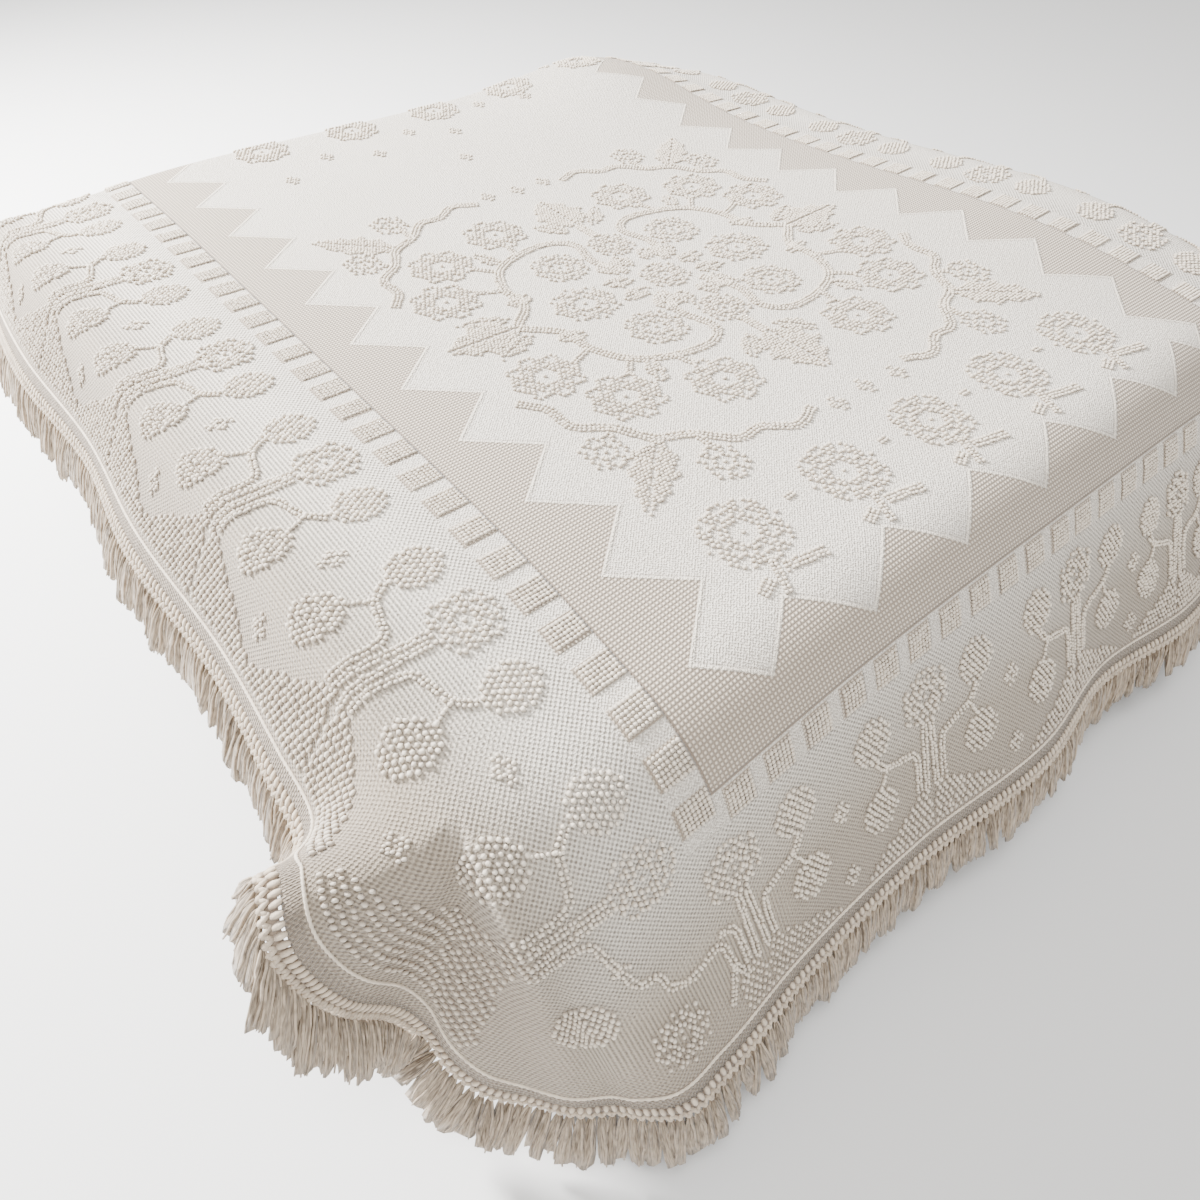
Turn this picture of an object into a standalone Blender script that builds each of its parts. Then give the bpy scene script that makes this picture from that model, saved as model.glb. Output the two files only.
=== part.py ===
"""Chenille bedspread lying over a made bed, as separate solids in metres, +Z up.

The spread is one woven cloth with its hem, draped over a soft mattress on a plain divan base.
Below its hem, on both long sides and the foot, run a knotted heading and a comb of yarn tassels.
The origin is on the floor under the middle of the bed. The foot of the bed faces -Y.
"""
import math

import bpy
import numpy as np
from mathutils import Matrix

# ---------------------------------------------------------------- driving dimensions (m)
GAP = 0.0003                      # air left between pieces that touch
TOP_Z = 0.66                      # upper face of the cloth on the flat of the bed
FLAT_X = 0.928                    # half width of the flat of the bed, where both shoulders begin
FLAT_FOOT = -0.840                # where the foot shoulder begins
FLAT_HEAD = 0.955                 # where the head shoulder begins

CLOTH_THICK = 0.003
CORD_LEFT = 0.183                 # cloth from each shoulder's start to the corded line of the hem
CORD_FOOT = 0.533
CORD_RIGHT = 0.269
CORD_HEAD = 0.170
CORNER_ROUND = 0.18               # the two foot corners of the cloth are cut round
HEAD_ROUND = 0.03                 # the two head corners are nearly square
HEM_BAND = 0.025                  # hem of the cloth, below its corded line

HEADING_GAP = 0.0009              # air between the hem and the heading, and below the heading
HEADING_DEPTH = 0.018             # knotted heading, down the drop
HEADING_THICK = 0.004
TASSEL_LENGTH = 0.078
TASSEL_PITCH = 0.064              # one tooth of the comb stands for two or three tassels
TASSEL_THICK = 0.009
TASSEL_FILL = 0.80                # width of a tooth as a share of the pitch
TASSEL_UNEVEN = 0.10              # tassels are longer or shorter by this share
SPINE_DEPTH = 0.006               # rib that joins the tassels under the heading

MATTRESS_CLEAR = 0.0038           # mattress below the cloth's upper face, on the flat
SHOULDER_CLEAR = 0.0060           # the same at its sides
CORNER_CLEAR = 0.0150             # the same at its corners, where the cloth swings across
BASE_TOP = 0.34
BASE_INSET = 0.010                # base inside the mattress, each side
BASE_EDGE = 0.020

# one row for each side, in order round the bed: outward direction, shoulder radius, cloth to the cord
SIDES = (
    {"side": "foot", "out": (0.0, -1.0), "shoulder": 0.165, "cord": CORD_FOOT},
    {"side": "right", "out": (1.0, 0.0), "shoulder": 0.047, "cord": CORD_RIGHT},
    {"side": "head", "out": (0.0, 1.0), "shoulder": 0.050, "cord": CORD_HEAD},
    {"side": "left", "out": (-1.0, 0.0), "shoulder": 0.047, "cord": CORD_LEFT},
)
# where the soft mattress top sinks (or, when negative, swells) under the cloth
SAGS = (
    {"place": "near foot corner", "x": -0.820, "y": -1.015, "depth": 0.076, "spread": 0.232},
    {"place": "far foot corner", "x": 0.860, "y": -0.960, "depth": 0.030, "spread": 0.200},
    {"place": "far head corner", "x": 0.960, "y": 0.960, "depth": 0.040, "spread": 0.150},
    {"place": "near head corner", "x": -0.920, "y": 1.000, "depth": 0.030, "spread": 0.180},
    {"place": "pillow", "x": 0.640, "y": 0.840, "depth": -0.048, "spread": 0.190},
    {"place": "far edge", "x": 0.950, "y": -0.460, "depth": -0.045, "spread": 0.320},
    {"place": "sleeper's hollow", "x": 0.200, "y": 0.150, "depth": 0.012, "spread": 0.380},
)
# one row for each fold of the drop: metres along the corded line from where the foot corner on the
# left begins, how steeply the cloth falls there, how far it swings along the bed, and how far the
# tassels lean out from upright, in degrees
FOLDS = (
    {"fold": "ear on the left", "along": 0.000, "slope": 16.0, "swing": -18.0, "lean": 32.0},
    {"fold": "ear crest", "along": 0.076, "slope": 20.0, "swing": -25.0, "lean": 34.0},
    {"fold": "ear face", "along": 0.150, "slope": 41.0, "swing": -35.0, "lean": 34.0},
    {"fold": "ear foot", "along": 0.196, "slope": 54.0, "swing": -39.0, "lean": 34.0},
    {"fold": "hollow", "along": 0.263, "slope": 70.0, "swing": -44.0, "lean": 30.0},
    {"fold": "hollow end", "along": 0.323, "slope": 76.0, "swing": -39.0, "lean": 32.0},
    {"fold": "corner left", "along": 0.394, "slope": 76.0, "swing": -26.0, "lean": 38.0},
    {"fold": "corner", "along": 0.440, "slope": 76.0, "swing": -15.0, "lean": 40.0},
    {"fold": "corner front", "along": 0.513, "slope": 78.0, "swing": 0.0, "lean": 36.0},
    {"fold": "corner right", "along": 0.600, "slope": 73.0, "swing": 9.0, "lean": 30.0},
    {"fold": "foot swell", "along": 0.690, "slope": 62.0, "swing": 7.0, "lean": 24.0},
    {"fold": "foot swell end", "along": 0.781, "slope": 62.0, "swing": 6.0, "lean": 20.0},
    {"fold": "foot", "along": 0.941, "slope": 65.0, "swing": 5.0, "lean": 18.0},
    {"fold": "foot middle", "along": 1.254, "slope": 66.0, "swing": -1.0, "lean": 17.0},
    {"fold": "foot wave", "along": 1.573, "slope": 62.0, "swing": -2.0, "lean": 18.0},
    {"fold": "foot hollow", "along": 1.800, "slope": 68.0, "swing": 0.0, "lean": 17.0},
    {"fold": "foot end wave", "along": 2.050, "slope": 63.0, "swing": 0.0, "lean": 17.0},
    {"fold": "foot end", "along": 2.300, "slope": 68.0, "swing": 0.0, "lean": 18.0},
    {"fold": "far corner front", "along": 2.520, "slope": 76.0, "swing": 4.0, "lean": 26.0},
    {"fold": "far corner", "along": 2.720, "slope": 80.0, "swing": 12.0, "lean": 32.0},
    {"fold": "far corner hollow", "along": 2.880, "slope": 74.0, "swing": 13.0, "lean": 30.0},
    {"fold": "far ear", "along": 3.040, "slope": 64.0, "swing": 10.0, "lean": 28.0},
    {"fold": "far ear end", "along": 3.190, "slope": 67.0, "swing": 4.0, "lean": 24.0},
    {"fold": "right", "along": 3.420, "slope": 73.0, "swing": 0.0, "lean": 18.0},
    {"fold": "right wave", "along": 3.700, "slope": 66.0, "swing": 0.0, "lean": 20.0},
    {"fold": "right hollow", "along": 3.960, "slope": 75.0, "swing": 0.0, "lean": 17.0},
    {"fold": "right second wave", "along": 4.240, "slope": 68.0, "swing": 0.0, "lean": 20.0},
    {"fold": "right head end", "along": 4.900, "slope": 76.0, "swing": 0.0, "lean": 16.0},
    {"fold": "head right", "along": 5.500, "slope": 84.0, "swing": 0.0, "lean": 10.0},
    {"fold": "head middle", "along": 6.400, "slope": 80.0, "swing": 0.0, "lean": 10.0},
    {"fold": "head left", "along": 7.200, "slope": 84.0, "swing": 0.0, "lean": 10.0},
    {"fold": "left head end", "along": -1.780, "slope": 66.0, "swing": 0.0, "lean": 20.0},
    {"fold": "left wave", "along": -1.400, "slope": 57.0, "swing": 0.0, "lean": 22.0},
    {"fold": "left hollow", "along": -1.080, "slope": 64.0, "swing": 0.0, "lean": 20.0},
    {"fold": "left second wave", "along": -0.775, "slope": 55.0, "swing": 0.0, "lean": 22.0},
    {"fold": "left long fall", "along": -0.442, "slope": 60.0, "swing": 0.0, "lean": 21.0},
    {"fold": "left before the ear", "along": -0.260, "slope": 55.0, "swing": 2.0, "lean": 20.0},
    {"fold": "left into the ear", "along": -0.150, "slope": 51.0, "swing": 0.0, "lean": 22.0},
)
# how finely the sheet is faceted
CELLS_X = 14
CELLS_Y = 14
ROWS = (0.0, 0.05, 0.10, 0.16, 0.23, 0.31, 0.42, 0.60, 0.80, 1.0)
CORNER_COLUMNS = {"near": 20, "far": 15, "head": 4}
MATTRESS_BENDS = (22.0, 45.0, 67.0, 90.0)     # rows round the mattress's shoulder, degrees

COLOURS = {
    "spread_cloth": (0.78, 0.75, 0.70),
    "fringe_heading": (0.76, 0.72, 0.66),
    "fringe_tassels": (0.70, 0.66, 0.60),
    "mattress": (0.86, 0.85, 0.83),
    "bed_base": (0.60, 0.58, 0.55),
}


# ---------------------------------------------------------------- the shape of the drop
def corner_round(side):
    """Radius of the cloth's corner that follows the given side, counting round the bed."""
    return CORNER_ROUND if side in ("left", "foot") else HEAD_ROUND


def side_run(side):
    """Length of the flat of the bed along a side."""
    return 2 * FLAT_X if side in ("foot", "head") else FLAT_HEAD - FLAT_FOOT


def corner_run(first, second):
    """Length of the corded line round the corner between two sides."""
    r = corner_round(first["side"])
    return first["cord"] + second["cord"] - 2 * r + math.pi * r / 2


def loop_starts():
    """Distance along the corded line at which each side's own straight stretch begins."""
    starts, along = {}, 0.0
    for i, row in enumerate(SIDES):
        along += corner_run(SIDES[i - 1], row)
        starts[row["side"]] = along
        along += side_run(row["side"])
    return starts, along


SIDE_START, LOOP = loop_starts()


def loop_curve(column):
    """Smooth closed curve through one column of FOLDS, as a function of distance along the loop.

    Each stretch between two rows is a cubic whose end slopes come from the rows on either side.
    """
    rows = sorted((row["along"] % LOOP, row[column]) for row in FOLDS)
    at = np.array([r[0] for r in rows])
    val = np.array([r[1] for r in rows])
    at = np.concatenate([at[-2:] - LOOP, at, at[:2] + LOOP])
    val = np.concatenate([val[-2:], val, val[:2]])
    step = np.diff(at)
    rise = np.diff(val) / step
    tangent = np.zeros_like(val)
    tangent[1:-1] = (rise[:-1] * step[1:] + rise[1:] * step[:-1]) / (step[1:] + step[:-1])

    def curve(along):
        a = np.mod(along, LOOP)
        i = np.clip(np.searchsorted(at, a, side="right") - 1, 1, len(at) - 3)
        t = (a - at[i]) / step[i]
        return (val[i] * (1 + 2 * t) * (1 - t) ** 2 + tangent[i] * step[i] * t * (1 - t) ** 2
                + val[i + 1] * t ** 2 * (3 - 2 * t) + tangent[i + 1] * step[i] * t ** 2 * (t - 1))
    return curve


SLOPE = loop_curve("slope")
SWING = loop_curve("swing")
LEAN = loop_curve("lean")


def corner_reach(p1, p2, e1, e2, r):
    """Where a ray from a corner of the flat meets the rounded outline of the cloth.

    p1 and p2 are the ray's parts along the two outward directions, e1 and e2 the outline's distance
    along each, r its rounding. Returns the ray's length to the outline and the distance round it.
    """
    size = np.hypot(p1, p2)
    d1, d2 = p1 / size, p2 / size
    m1, m2 = e1 - r, e2 - r
    along_first = e1 * d2 / np.maximum(d1, 1e-9)
    along_second = e2 * d1 / np.maximum(d2, 1e-9)
    on_first = along_first <= m2
    on_second = ~on_first & (along_second <= m1)
    dot = d1 * m1 + d2 * m2
    arc = dot + np.sqrt(np.maximum(dot ** 2 - m1 ** 2 - m2 ** 2 + r ** 2, 0.0))
    turn = np.arctan2(arc * d2 - m2, arc * d1 - m1)
    reach = np.where(on_first, e1 / np.maximum(d1, 1e-9),
                     np.where(on_second, e2 / np.maximum(d2, 1e-9), arc))
    round_it = np.where(on_first, along_first,
                        np.where(on_second, m2 + math.pi * r / 2 + m1 - along_second, m2 + turn * r))
    return reach, round_it


def sag(x, y):
    """Depth by which the soft bed sinks at x, y: a sum of round hollows."""
    total = np.zeros_like(x)
    for row in SAGS:
        far = (x - row["x"]) ** 2 + (y - row["y"]) ** 2
        total += row["depth"] * np.exp(-far / (2 * row["spread"] ** 2))
    return total


def fall(s, radius, slope):
    """Path over the shoulder: a circular arc down to the slope, then a straight line.

    Returns how far out and how far down the cloth is after a length s of it.
    """
    arc = np.minimum(s / radius, slope)
    rest = np.maximum(s - radius * slope, 0.0)
    return (radius * np.sin(arc) + rest * np.cos(slope),
            radius * (1 - np.cos(arc)) + rest * np.sin(slope))


def drape(u, v):
    """Place of points of the flat cloth on the bed. Flat and draped agree on the flat of the bed.

    Beyond it, a point goes out from the nearest edge of the flat by the path of fall(), whose slope
    and sideways swing are read from FOLDS where its line meets the corded line of the hem.
    """
    u, v = np.asarray(u, float), np.asarray(v, float)
    base = np.stack([np.clip(u, -FLAT_X, FLAT_X), np.clip(v, FLAT_FOOT, FLAT_HEAD)], -1)
    off = np.stack([u, v], -1) - base
    s = np.hypot(off[..., 0], off[..., 1])
    reach = np.ones_like(s)
    along = np.zeros_like(s)
    radius = np.ones_like(s)
    for i, side in enumerate(SIDES):
        first = SIDES[i - 1]
        p1 = off @ np.array(first["out"])
        p2 = off @ np.array(side["out"])
        size = {"foot": base[..., 0] + FLAT_X, "right": base[..., 1] - FLAT_FOOT,
                "head": FLAT_X - base[..., 0], "left": FLAT_HEAD - base[..., 1]}[side["side"]]
        straight = (p2 > 0) & (np.abs(p1) < 1e-9)
        reach = np.where(straight, side["cord"], reach)
        along = np.where(straight, SIDE_START[side["side"]] + size, along)
        radius = np.where(straight, side["shoulder"], radius)
        corner = (p1 > 1e-9) & (p2 > 1e-9)
        c_reach, c_round = corner_reach(np.where(corner, p1, 1.0), np.where(corner, p2, 1.0),
                                        first["cord"], side["cord"], corner_round(first["side"]))
        c_along = SIDE_START[side["side"]] - corner_run(first, side) + c_round
        turn = np.arctan2(p2, np.where(corner, p1, 1.0)) + np.radians(SWING(c_along))
        turn = np.clip(turn, 0.0, math.pi / 2)
        c_radius = 1 / np.hypot(np.cos(turn) / first["shoulder"], np.sin(turn) / side["shoulder"])
        reach = np.where(corner, c_reach, reach)
        along = np.where(corner, c_along, along)
        radius = np.where(corner, c_radius, radius)
    slope = np.radians(SLOPE(along))
    swing = np.radians(SWING(along))
    out, down = fall(s, radius, slope)
    way = off / np.maximum(s, 1e-9)[..., None]
    cross = np.stack([-way[..., 1], way[..., 0]], -1)
    share = np.clip(s / reach, 0.0, 1.0)
    share = (share * share * (3 - 2 * share))[..., None]
    turned = way * np.cos(swing)[..., None] + cross * np.sin(swing)[..., None]
    place = base + out[..., None] * (way * (1 - share) + turned * share)
    height = TOP_Z - down - sag(place[..., 0], place[..., 1])
    return np.concatenate([place, height[..., None]], -1)


CORNERS = {"foot": (-FLAT_X, FLAT_FOOT), "right": (FLAT_X, FLAT_FOOT),
           "head": (FLAT_X, FLAT_HEAD), "left": (-FLAT_X, FLAT_HEAD)}


def cord_point(along):
    """Flat start, flat place and outward direction of the corded line at a distance round it."""
    along = along % LOOP
    for i, side in enumerate(SIDES):
        first = SIDES[i - 1]
        start = np.array(CORNERS[side["side"]])
        out, before = np.array(side["out"]), np.array(first["out"])
        run = corner_run(first, side)
        past = along - SIDE_START[side["side"]]
        if 0 <= past <= side_run(side["side"]):
            start = start - before * past
            return start, start + out * side["cord"], out
        go = past + run
        if 0 <= go < run:
            r = corner_round(first["side"])
            turn = min(max((go - side["cord"] + r) / r, 0.0), math.pi / 2)
            face = before * math.cos(turn) + out * math.sin(turn)
            middle = start + before * (first["cord"] - r) + out * (side["cord"] - r)
            if turn == 0.0:
                return start, start + before * first["cord"] + out * go, face
            if turn == math.pi / 2:
                return start, start + before * (run - go) + out * side["cord"], face
            return start, middle + face * r, face
    raise ValueError("no such place on the corded line")


def column_places():
    """Distances along the corded line of the sheet's columns, in order round the bed."""
    places = []
    corner_counts = {"foot": CORNER_COLUMNS["near"], "right": CORNER_COLUMNS["far"],
                     "head": CORNER_COLUMNS["head"], "left": CORNER_COLUMNS["head"]}
    for i, side in enumerate(SIDES):
        name = side["side"]
        run = corner_run(SIDES[i - 1], side)
        n = corner_counts[name]
        places += [SIDE_START[name] - run + run * k / n for k in range(1, n)]
        cells = CELLS_X if name in ("foot", "head") else CELLS_Y
        places += list(SIDE_START[name] + np.linspace(0, side_run(name), cells + 1))
    return places


def edge_frames(alongs, beyond):
    """Points on the drop outside the corded line, with the way down and the outward normal there."""
    marks = [cord_point(a) for a in alongs]
    face = np.array([m[2] for m in marks])
    flat = np.array([m[1] for m in marks]) + face * beyond
    side = np.stack([-face[:, 1], face[:, 0]], -1)
    step = 0.002
    here = drape(flat[:, 0], flat[:, 1])
    lower = drape(*(flat + face * step).T)
    ahead, behind = drape(*(flat + side * step).T), drape(*(flat - side * step).T)
    down = lower - here
    down /= np.linalg.norm(down, axis=1)[:, None]
    normal = np.cross(down, ahead - behind)
    normal /= np.linalg.norm(normal, axis=1)[:, None]
    return here, down, normal


# ---------------------------------------------------------------- Blender helpers
def clear_scene():
    for obj in list(bpy.data.objects):
        bpy.data.objects.remove(obj, do_unlink=True)


def finish(name):
    """Plain material of the named sub-part."""
    material = bpy.data.materials.new(name)
    material.use_nodes = True
    shader = material.node_tree.nodes["Principled BSDF"]
    shader.inputs["Base Color"].default_value = (*COLOURS[name], 1.0)
    shader.inputs["Roughness"].default_value = 0.9
    shader.inputs["Metallic"].default_value = 0.0
    return material


def add_mesh(name, collection, points, faces):
    """Object from points and faces, placed in the collection with its own material."""
    mesh = bpy.data.meshes.new(name)
    mesh.from_pydata([tuple(p) for p in points], [], faces)
    mesh.update()
    obj = bpy.data.objects.new(name, mesh)
    collection.objects.link(obj)
    mesh.materials.append(finish(name))
    return obj


def flat_grid():
    """Lines of the grid on the flat of the bed."""
    return np.linspace(-FLAT_X, FLAT_X, CELLS_X + 1), np.linspace(FLAT_FOOT, FLAT_HEAD, CELLS_Y + 1)


def grid_faces():
    """Quads of the flat of the bed, row by row from the foot."""
    wide = CELLS_X + 1
    return [(j * wide + i, j * wide + i + 1, (j + 1) * wide + i + 1, (j + 1) * wide + i)
            for j in range(CELLS_Y) for i in range(CELLS_X)]


def rim_index(start):
    """Index, in the grid, of the point where a column starts."""
    xs, ys = flat_grid()
    i = int(np.argmin(np.abs(xs - start[0])))
    j = int(np.argmin(np.abs(ys - start[1])))
    return j * (CELLS_X + 1) + i


def skirt_faces(rims, rows, first_point):
    """Faces between neighbouring columns, all round. A corner's columns share their first point."""
    faces = []
    count = len(rims)
    for k in range(count):
        nxt = (k + 1) % count
        here = [rims[k]] + [first_point + k * rows + j for j in range(rows)]
        there = [rims[nxt]] + [first_point + nxt * rows + j for j in range(rows)]
        for j in range(rows):
            quad = (here[j], here[j + 1], there[j + 1], there[j])
            faces.append(quad if here[j] != there[j] else quad[:3])
    return faces


# ---------------------------------------------------------------- the sub-parts
def spread_cloth(collection):
    """The woven cloth with its hem: one sheet over the flat of the bed and down its four sides."""
    xs, ys = flat_grid()
    gx, gy = np.meshgrid(xs, ys)
    flat = [np.stack([gx.ravel(), gy.ravel()], -1)]
    rims = []
    shares = np.array(ROWS[1:])
    head_end = SIDE_START["head"] - corner_run(SIDES[1], SIDES[2]) / 2
    left_end = SIDE_START["left"] - corner_run(SIDES[2], SIDES[3]) / 2
    for along in column_places():
        start, cord, face = cord_point(along)
        band = 0.0 if head_end < along % LOOP < left_end else HEM_BAND
        edge = cord + face * band
        flat.append(start + (edge - start) * shares[:, None])
        rims.append(rim_index(start))
    flat = np.concatenate(flat)
    points = drape(flat[:, 0], flat[:, 1])
    faces = grid_faces() + skirt_faces(rims, len(shares), gx.size)
    obj = add_mesh("spread_cloth", collection, points, faces)
    shell = obj.modifiers.new("thickness", "SOLIDIFY")
    shell.thickness = CLOTH_THICK
    shell.offset = -1.0
    return obj


def strip(name, collection, sections):
    """Closed strip from a four-cornered section carried along a line, with both ends shut."""
    count = len(sections)
    points = np.concatenate(sections)
    faces = []
    for k in range(count - 1):
        a, b = 4 * k, 4 * (k + 1)
        faces += [(a + c, a + (c + 1) % 4, b + (c + 1) % 4, b + c) for c in range(4)]
    last = 4 * (count - 1)
    faces += [(3, 2, 1, 0), (last, last + 1, last + 2, last + 3)]
    return add_mesh(name, collection, points, faces)


def fringe_columns():
    """Places of the sheet's columns along the two long sides and the foot, from head to head."""
    places = column_places()
    start, end = SIDE_START["left"], SIDE_START["right"] + side_run("right")
    return [a - LOOP for a in places if a > start - 1e-9] + [a for a in places if a < end + 1e-9]


def fringe_heading(collection):
    """Knotted heading, just below the hem on the two long sides and the foot."""
    here, down, normal = edge_frames(fringe_columns(), HEM_BAND)
    top = here - normal * CLOTH_THICK / 2 + down * HEADING_GAP
    low = top + down * HEADING_DEPTH
    half = normal * HEADING_THICK / 2
    sections = list(np.stack([top + half, low + half, low - half, top - half], 1))
    return strip("fringe_heading", collection, sections)


def fringe_tassels(collection):
    """Comb of tassels on one rib under the heading. Each tooth is a few yarn tassels."""
    places = fringe_columns()
    marks = []
    for k in range(len(places) - 1):
        teeth = max(1, round((places[k + 1] - places[k]) / TASSEL_PITCH))
        marks += [k + (j + edge) / teeth for j in range(teeth) for edge in (0.0, TASSEL_FILL)]
    column = np.array(marks).astype(int)
    share = (np.array(marks) - column)[:, None]
    here, down, normal = (part[column] * (1 - share) + part[column + 1] * share
                          for part in edge_frames(places, HEM_BAND))
    top = here - normal * CLOTH_THICK / 2 + down * (HEADING_DEPTH + 2 * HEADING_GAP)
    rib = top + down * SPINE_DEPTH
    tooth = np.arange(len(marks)) // 2
    length = TASSEL_LENGTH * (1 + TASSEL_UNEVEN * np.sin(2.4 * tooth) * np.cos(0.9 * tooth))
    lean = np.radians(LEAN(np.array(places)))[column]
    out = (down + normal) * np.array([1.0, 1.0, 0.0])
    out /= np.linalg.norm(out, axis=1)[:, None]
    way = out * np.sin(lean)[:, None] - np.array([0.0, 0.0, 1.0]) * np.cos(lean)[:, None]
    tip = rib + way * length[:, None]
    rows = ((top, CLOTH_THICK), (rib, TASSEL_THICK), (tip, TASSEL_THICK))
    points = np.concatenate([np.stack([row + normal * thick / 2, row - normal * thick / 2], 1).reshape(-1, 3)
                             for row, thick in rows])
    count = len(marks)

    def at(row, station, back):
        return (row * count + station) * 2 + back

    faces = []
    for k in range(count - 1):
        solid = k % 2 == 0
        n = k + 1
        for row in range(2 if solid else 1):
            faces.append((at(row, k, 0), at(row + 1, k, 0), at(row + 1, n, 0), at(row, n, 0)))
            faces.append((at(row, n, 1), at(row + 1, n, 1), at(row + 1, k, 1), at(row, k, 1)))
        low = 2 if solid else 1
        faces.append((at(0, k, 1), at(0, k, 0), at(0, n, 0), at(0, n, 1)))
        faces.append((at(low, k, 0), at(low, k, 1), at(low, n, 1), at(low, n, 0)))
        if solid:
            faces.append((at(1, k, 1), at(2, k, 1), at(2, k, 0), at(1, k, 0)))
            faces.append((at(1, n, 0), at(2, n, 0), at(2, n, 1), at(1, n, 1)))
    last = count - 1
    faces.append((at(0, 0, 1), at(1, 0, 1), at(1, 0, 0), at(0, 0, 0)))
    faces.append((at(0, last, 0), at(1, last, 0), at(1, last, 1), at(0, last, 1)))
    return add_mesh("fringe_tassels", collection, points, faces)


def mattress(collection):
    """Soft mattress: the flat of the bed, a quarter-round shoulder on each side, upright sides."""
    xs, ys = flat_grid()
    gx, gy = np.meshgrid(xs, ys)
    top = TOP_Z - MATTRESS_CLEAR - sag(gx.ravel(), gy.ravel())
    points = [np.stack([gx.ravel(), gy.ravel(), top], -1)]
    bends = np.radians(MATTRESS_BENDS)
    rims = []
    for along in column_places():
        start, cord, face = cord_point(along)
        way = (cord - start) / np.linalg.norm(cord - start)
        radius, clear = shoulder(along, cord - start)
        out = (radius - clear) * np.sin(bends)
        flat = start + way * out[:, None]
        down = (radius - MATTRESS_CLEAR) * (1 - np.cos(bends))
        height = TOP_Z - MATTRESS_CLEAR - down - sag(flat[:, 0], flat[:, 1])
        column = np.concatenate([flat, height[:, None]], 1)
        foot = np.array([[flat[-1, 0], flat[-1, 1], BASE_TOP + GAP]])
        points.append(np.concatenate([column, foot]))
        rims.append(rim_index(start))
    rows = len(bends) + 1
    faces = grid_faces() + skirt_faces(rims, rows, gx.size)
    faces.append(tuple(gx.size + k * rows + rows - 1 for k in reversed(range(len(rims)))))
    return add_mesh("mattress", collection, np.concatenate(points), faces)


def shoulder(along, off):
    """Radius of the mattress's shoulder, and its clearance, in a column that goes out by off.

    In a corner the soft mattress takes the shape of the cloth, which swings there.
    """
    for i, side in enumerate(SIDES):
        first = SIDES[i - 1]
        p1, p2 = off @ np.array(first["out"]), off @ np.array(side["out"])
        if p1 > 1e-9 and p2 > 1e-9:
            turn = math.atan2(p2, p1) + math.radians(float(SWING(along)))
            turn = min(max(turn, 0.0), math.pi / 2)
            curve = math.hypot(math.cos(turn) / first["shoulder"], math.sin(turn) / side["shoulder"])
            return 1 / curve, CORNER_CLEAR
        if abs(p1) < 1e-9 and p2 > 0:
            return side["shoulder"], SHOULDER_CLEAR
    raise ValueError("a column has no direction")


def bed_base(collection):
    """Plain divan base: a box with rounded edges, flat on the floor."""
    half_x = FLAT_X + SIDES[1]["shoulder"] - BASE_INSET
    low_y = FLAT_FOOT - SIDES[0]["shoulder"] + BASE_INSET
    high_y = FLAT_HEAD + SIDES[2]["shoulder"] - BASE_INSET
    bpy.ops.mesh.primitive_cube_add(size=1.0)
    obj = bpy.context.active_object
    obj.name = "bed_base"
    obj.data.name = "bed_base"
    obj.data.transform(matrix_scale((2 * half_x, high_y - low_y, BASE_TOP)))
    obj.location = (0.0, (low_y + high_y) / 2, BASE_TOP / 2)
    for other in obj.users_collection:
        other.objects.unlink(obj)
    collection.objects.link(obj)
    edge = obj.modifiers.new("edges", "BEVEL")
    edge.width = BASE_EDGE
    edge.segments = 3
    obj.data.materials.append(finish("bed_base"))
    return obj


def matrix_scale(size):
    """Diagonal matrix that sizes a unit cube."""
    matrix = Matrix.Identity(4)
    for i in range(3):
        matrix[i][i] = size[i]
    return matrix


def main():
    clear_scene()
    collection = bpy.data.collections.new("chenille bedspread on a bed")
    bpy.context.scene.collection.children.link(collection)
    for build in (bed_base, mattress, spread_cloth, fringe_heading, fringe_tassels):
        build(collection)


main()
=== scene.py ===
"""Chenille bedspread on a bed: draped cloth, tufted pattern, knotted fringe and the bed under it."""
import math

import bpy
import numpy as np
from bpy.props import FloatProperty, FloatVectorProperty, IntProperty, PointerProperty
from mathutils import Euler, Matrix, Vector


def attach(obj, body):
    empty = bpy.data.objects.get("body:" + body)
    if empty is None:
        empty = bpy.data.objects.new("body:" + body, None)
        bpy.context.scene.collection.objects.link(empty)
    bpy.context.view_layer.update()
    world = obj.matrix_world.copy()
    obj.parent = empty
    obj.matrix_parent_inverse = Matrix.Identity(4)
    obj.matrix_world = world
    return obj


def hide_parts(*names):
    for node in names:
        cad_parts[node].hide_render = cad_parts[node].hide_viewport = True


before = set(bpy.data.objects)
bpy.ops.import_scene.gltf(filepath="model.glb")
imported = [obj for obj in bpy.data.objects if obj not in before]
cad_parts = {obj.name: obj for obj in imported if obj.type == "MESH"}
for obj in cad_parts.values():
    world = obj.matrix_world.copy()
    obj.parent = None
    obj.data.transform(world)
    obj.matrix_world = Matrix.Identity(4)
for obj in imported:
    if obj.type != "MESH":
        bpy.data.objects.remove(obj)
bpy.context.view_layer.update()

bl_info = {
    "name": "Chenille bedspread",
    "version": (1, 0, 0),
    "blender": (4, 5, 0),
    "location": "3D View > Sidebar > Bedspread",
    "description": "Builds a tufted bedspread with a knotted tassel fringe, draped over a bed",
    "category": "Object",
}

MM = 0.001                        # a millimetre


def to_linear(code):
    """Linear colour from an sRGB hex code."""
    parts = [int(code[i:i + 2], 16) / 255 for i in (1, 3, 5)]
    return tuple(c / 12.92 if c <= 0.04045 else ((c + 0.055) / 1.055) ** 2.4 for c in parts)


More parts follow.
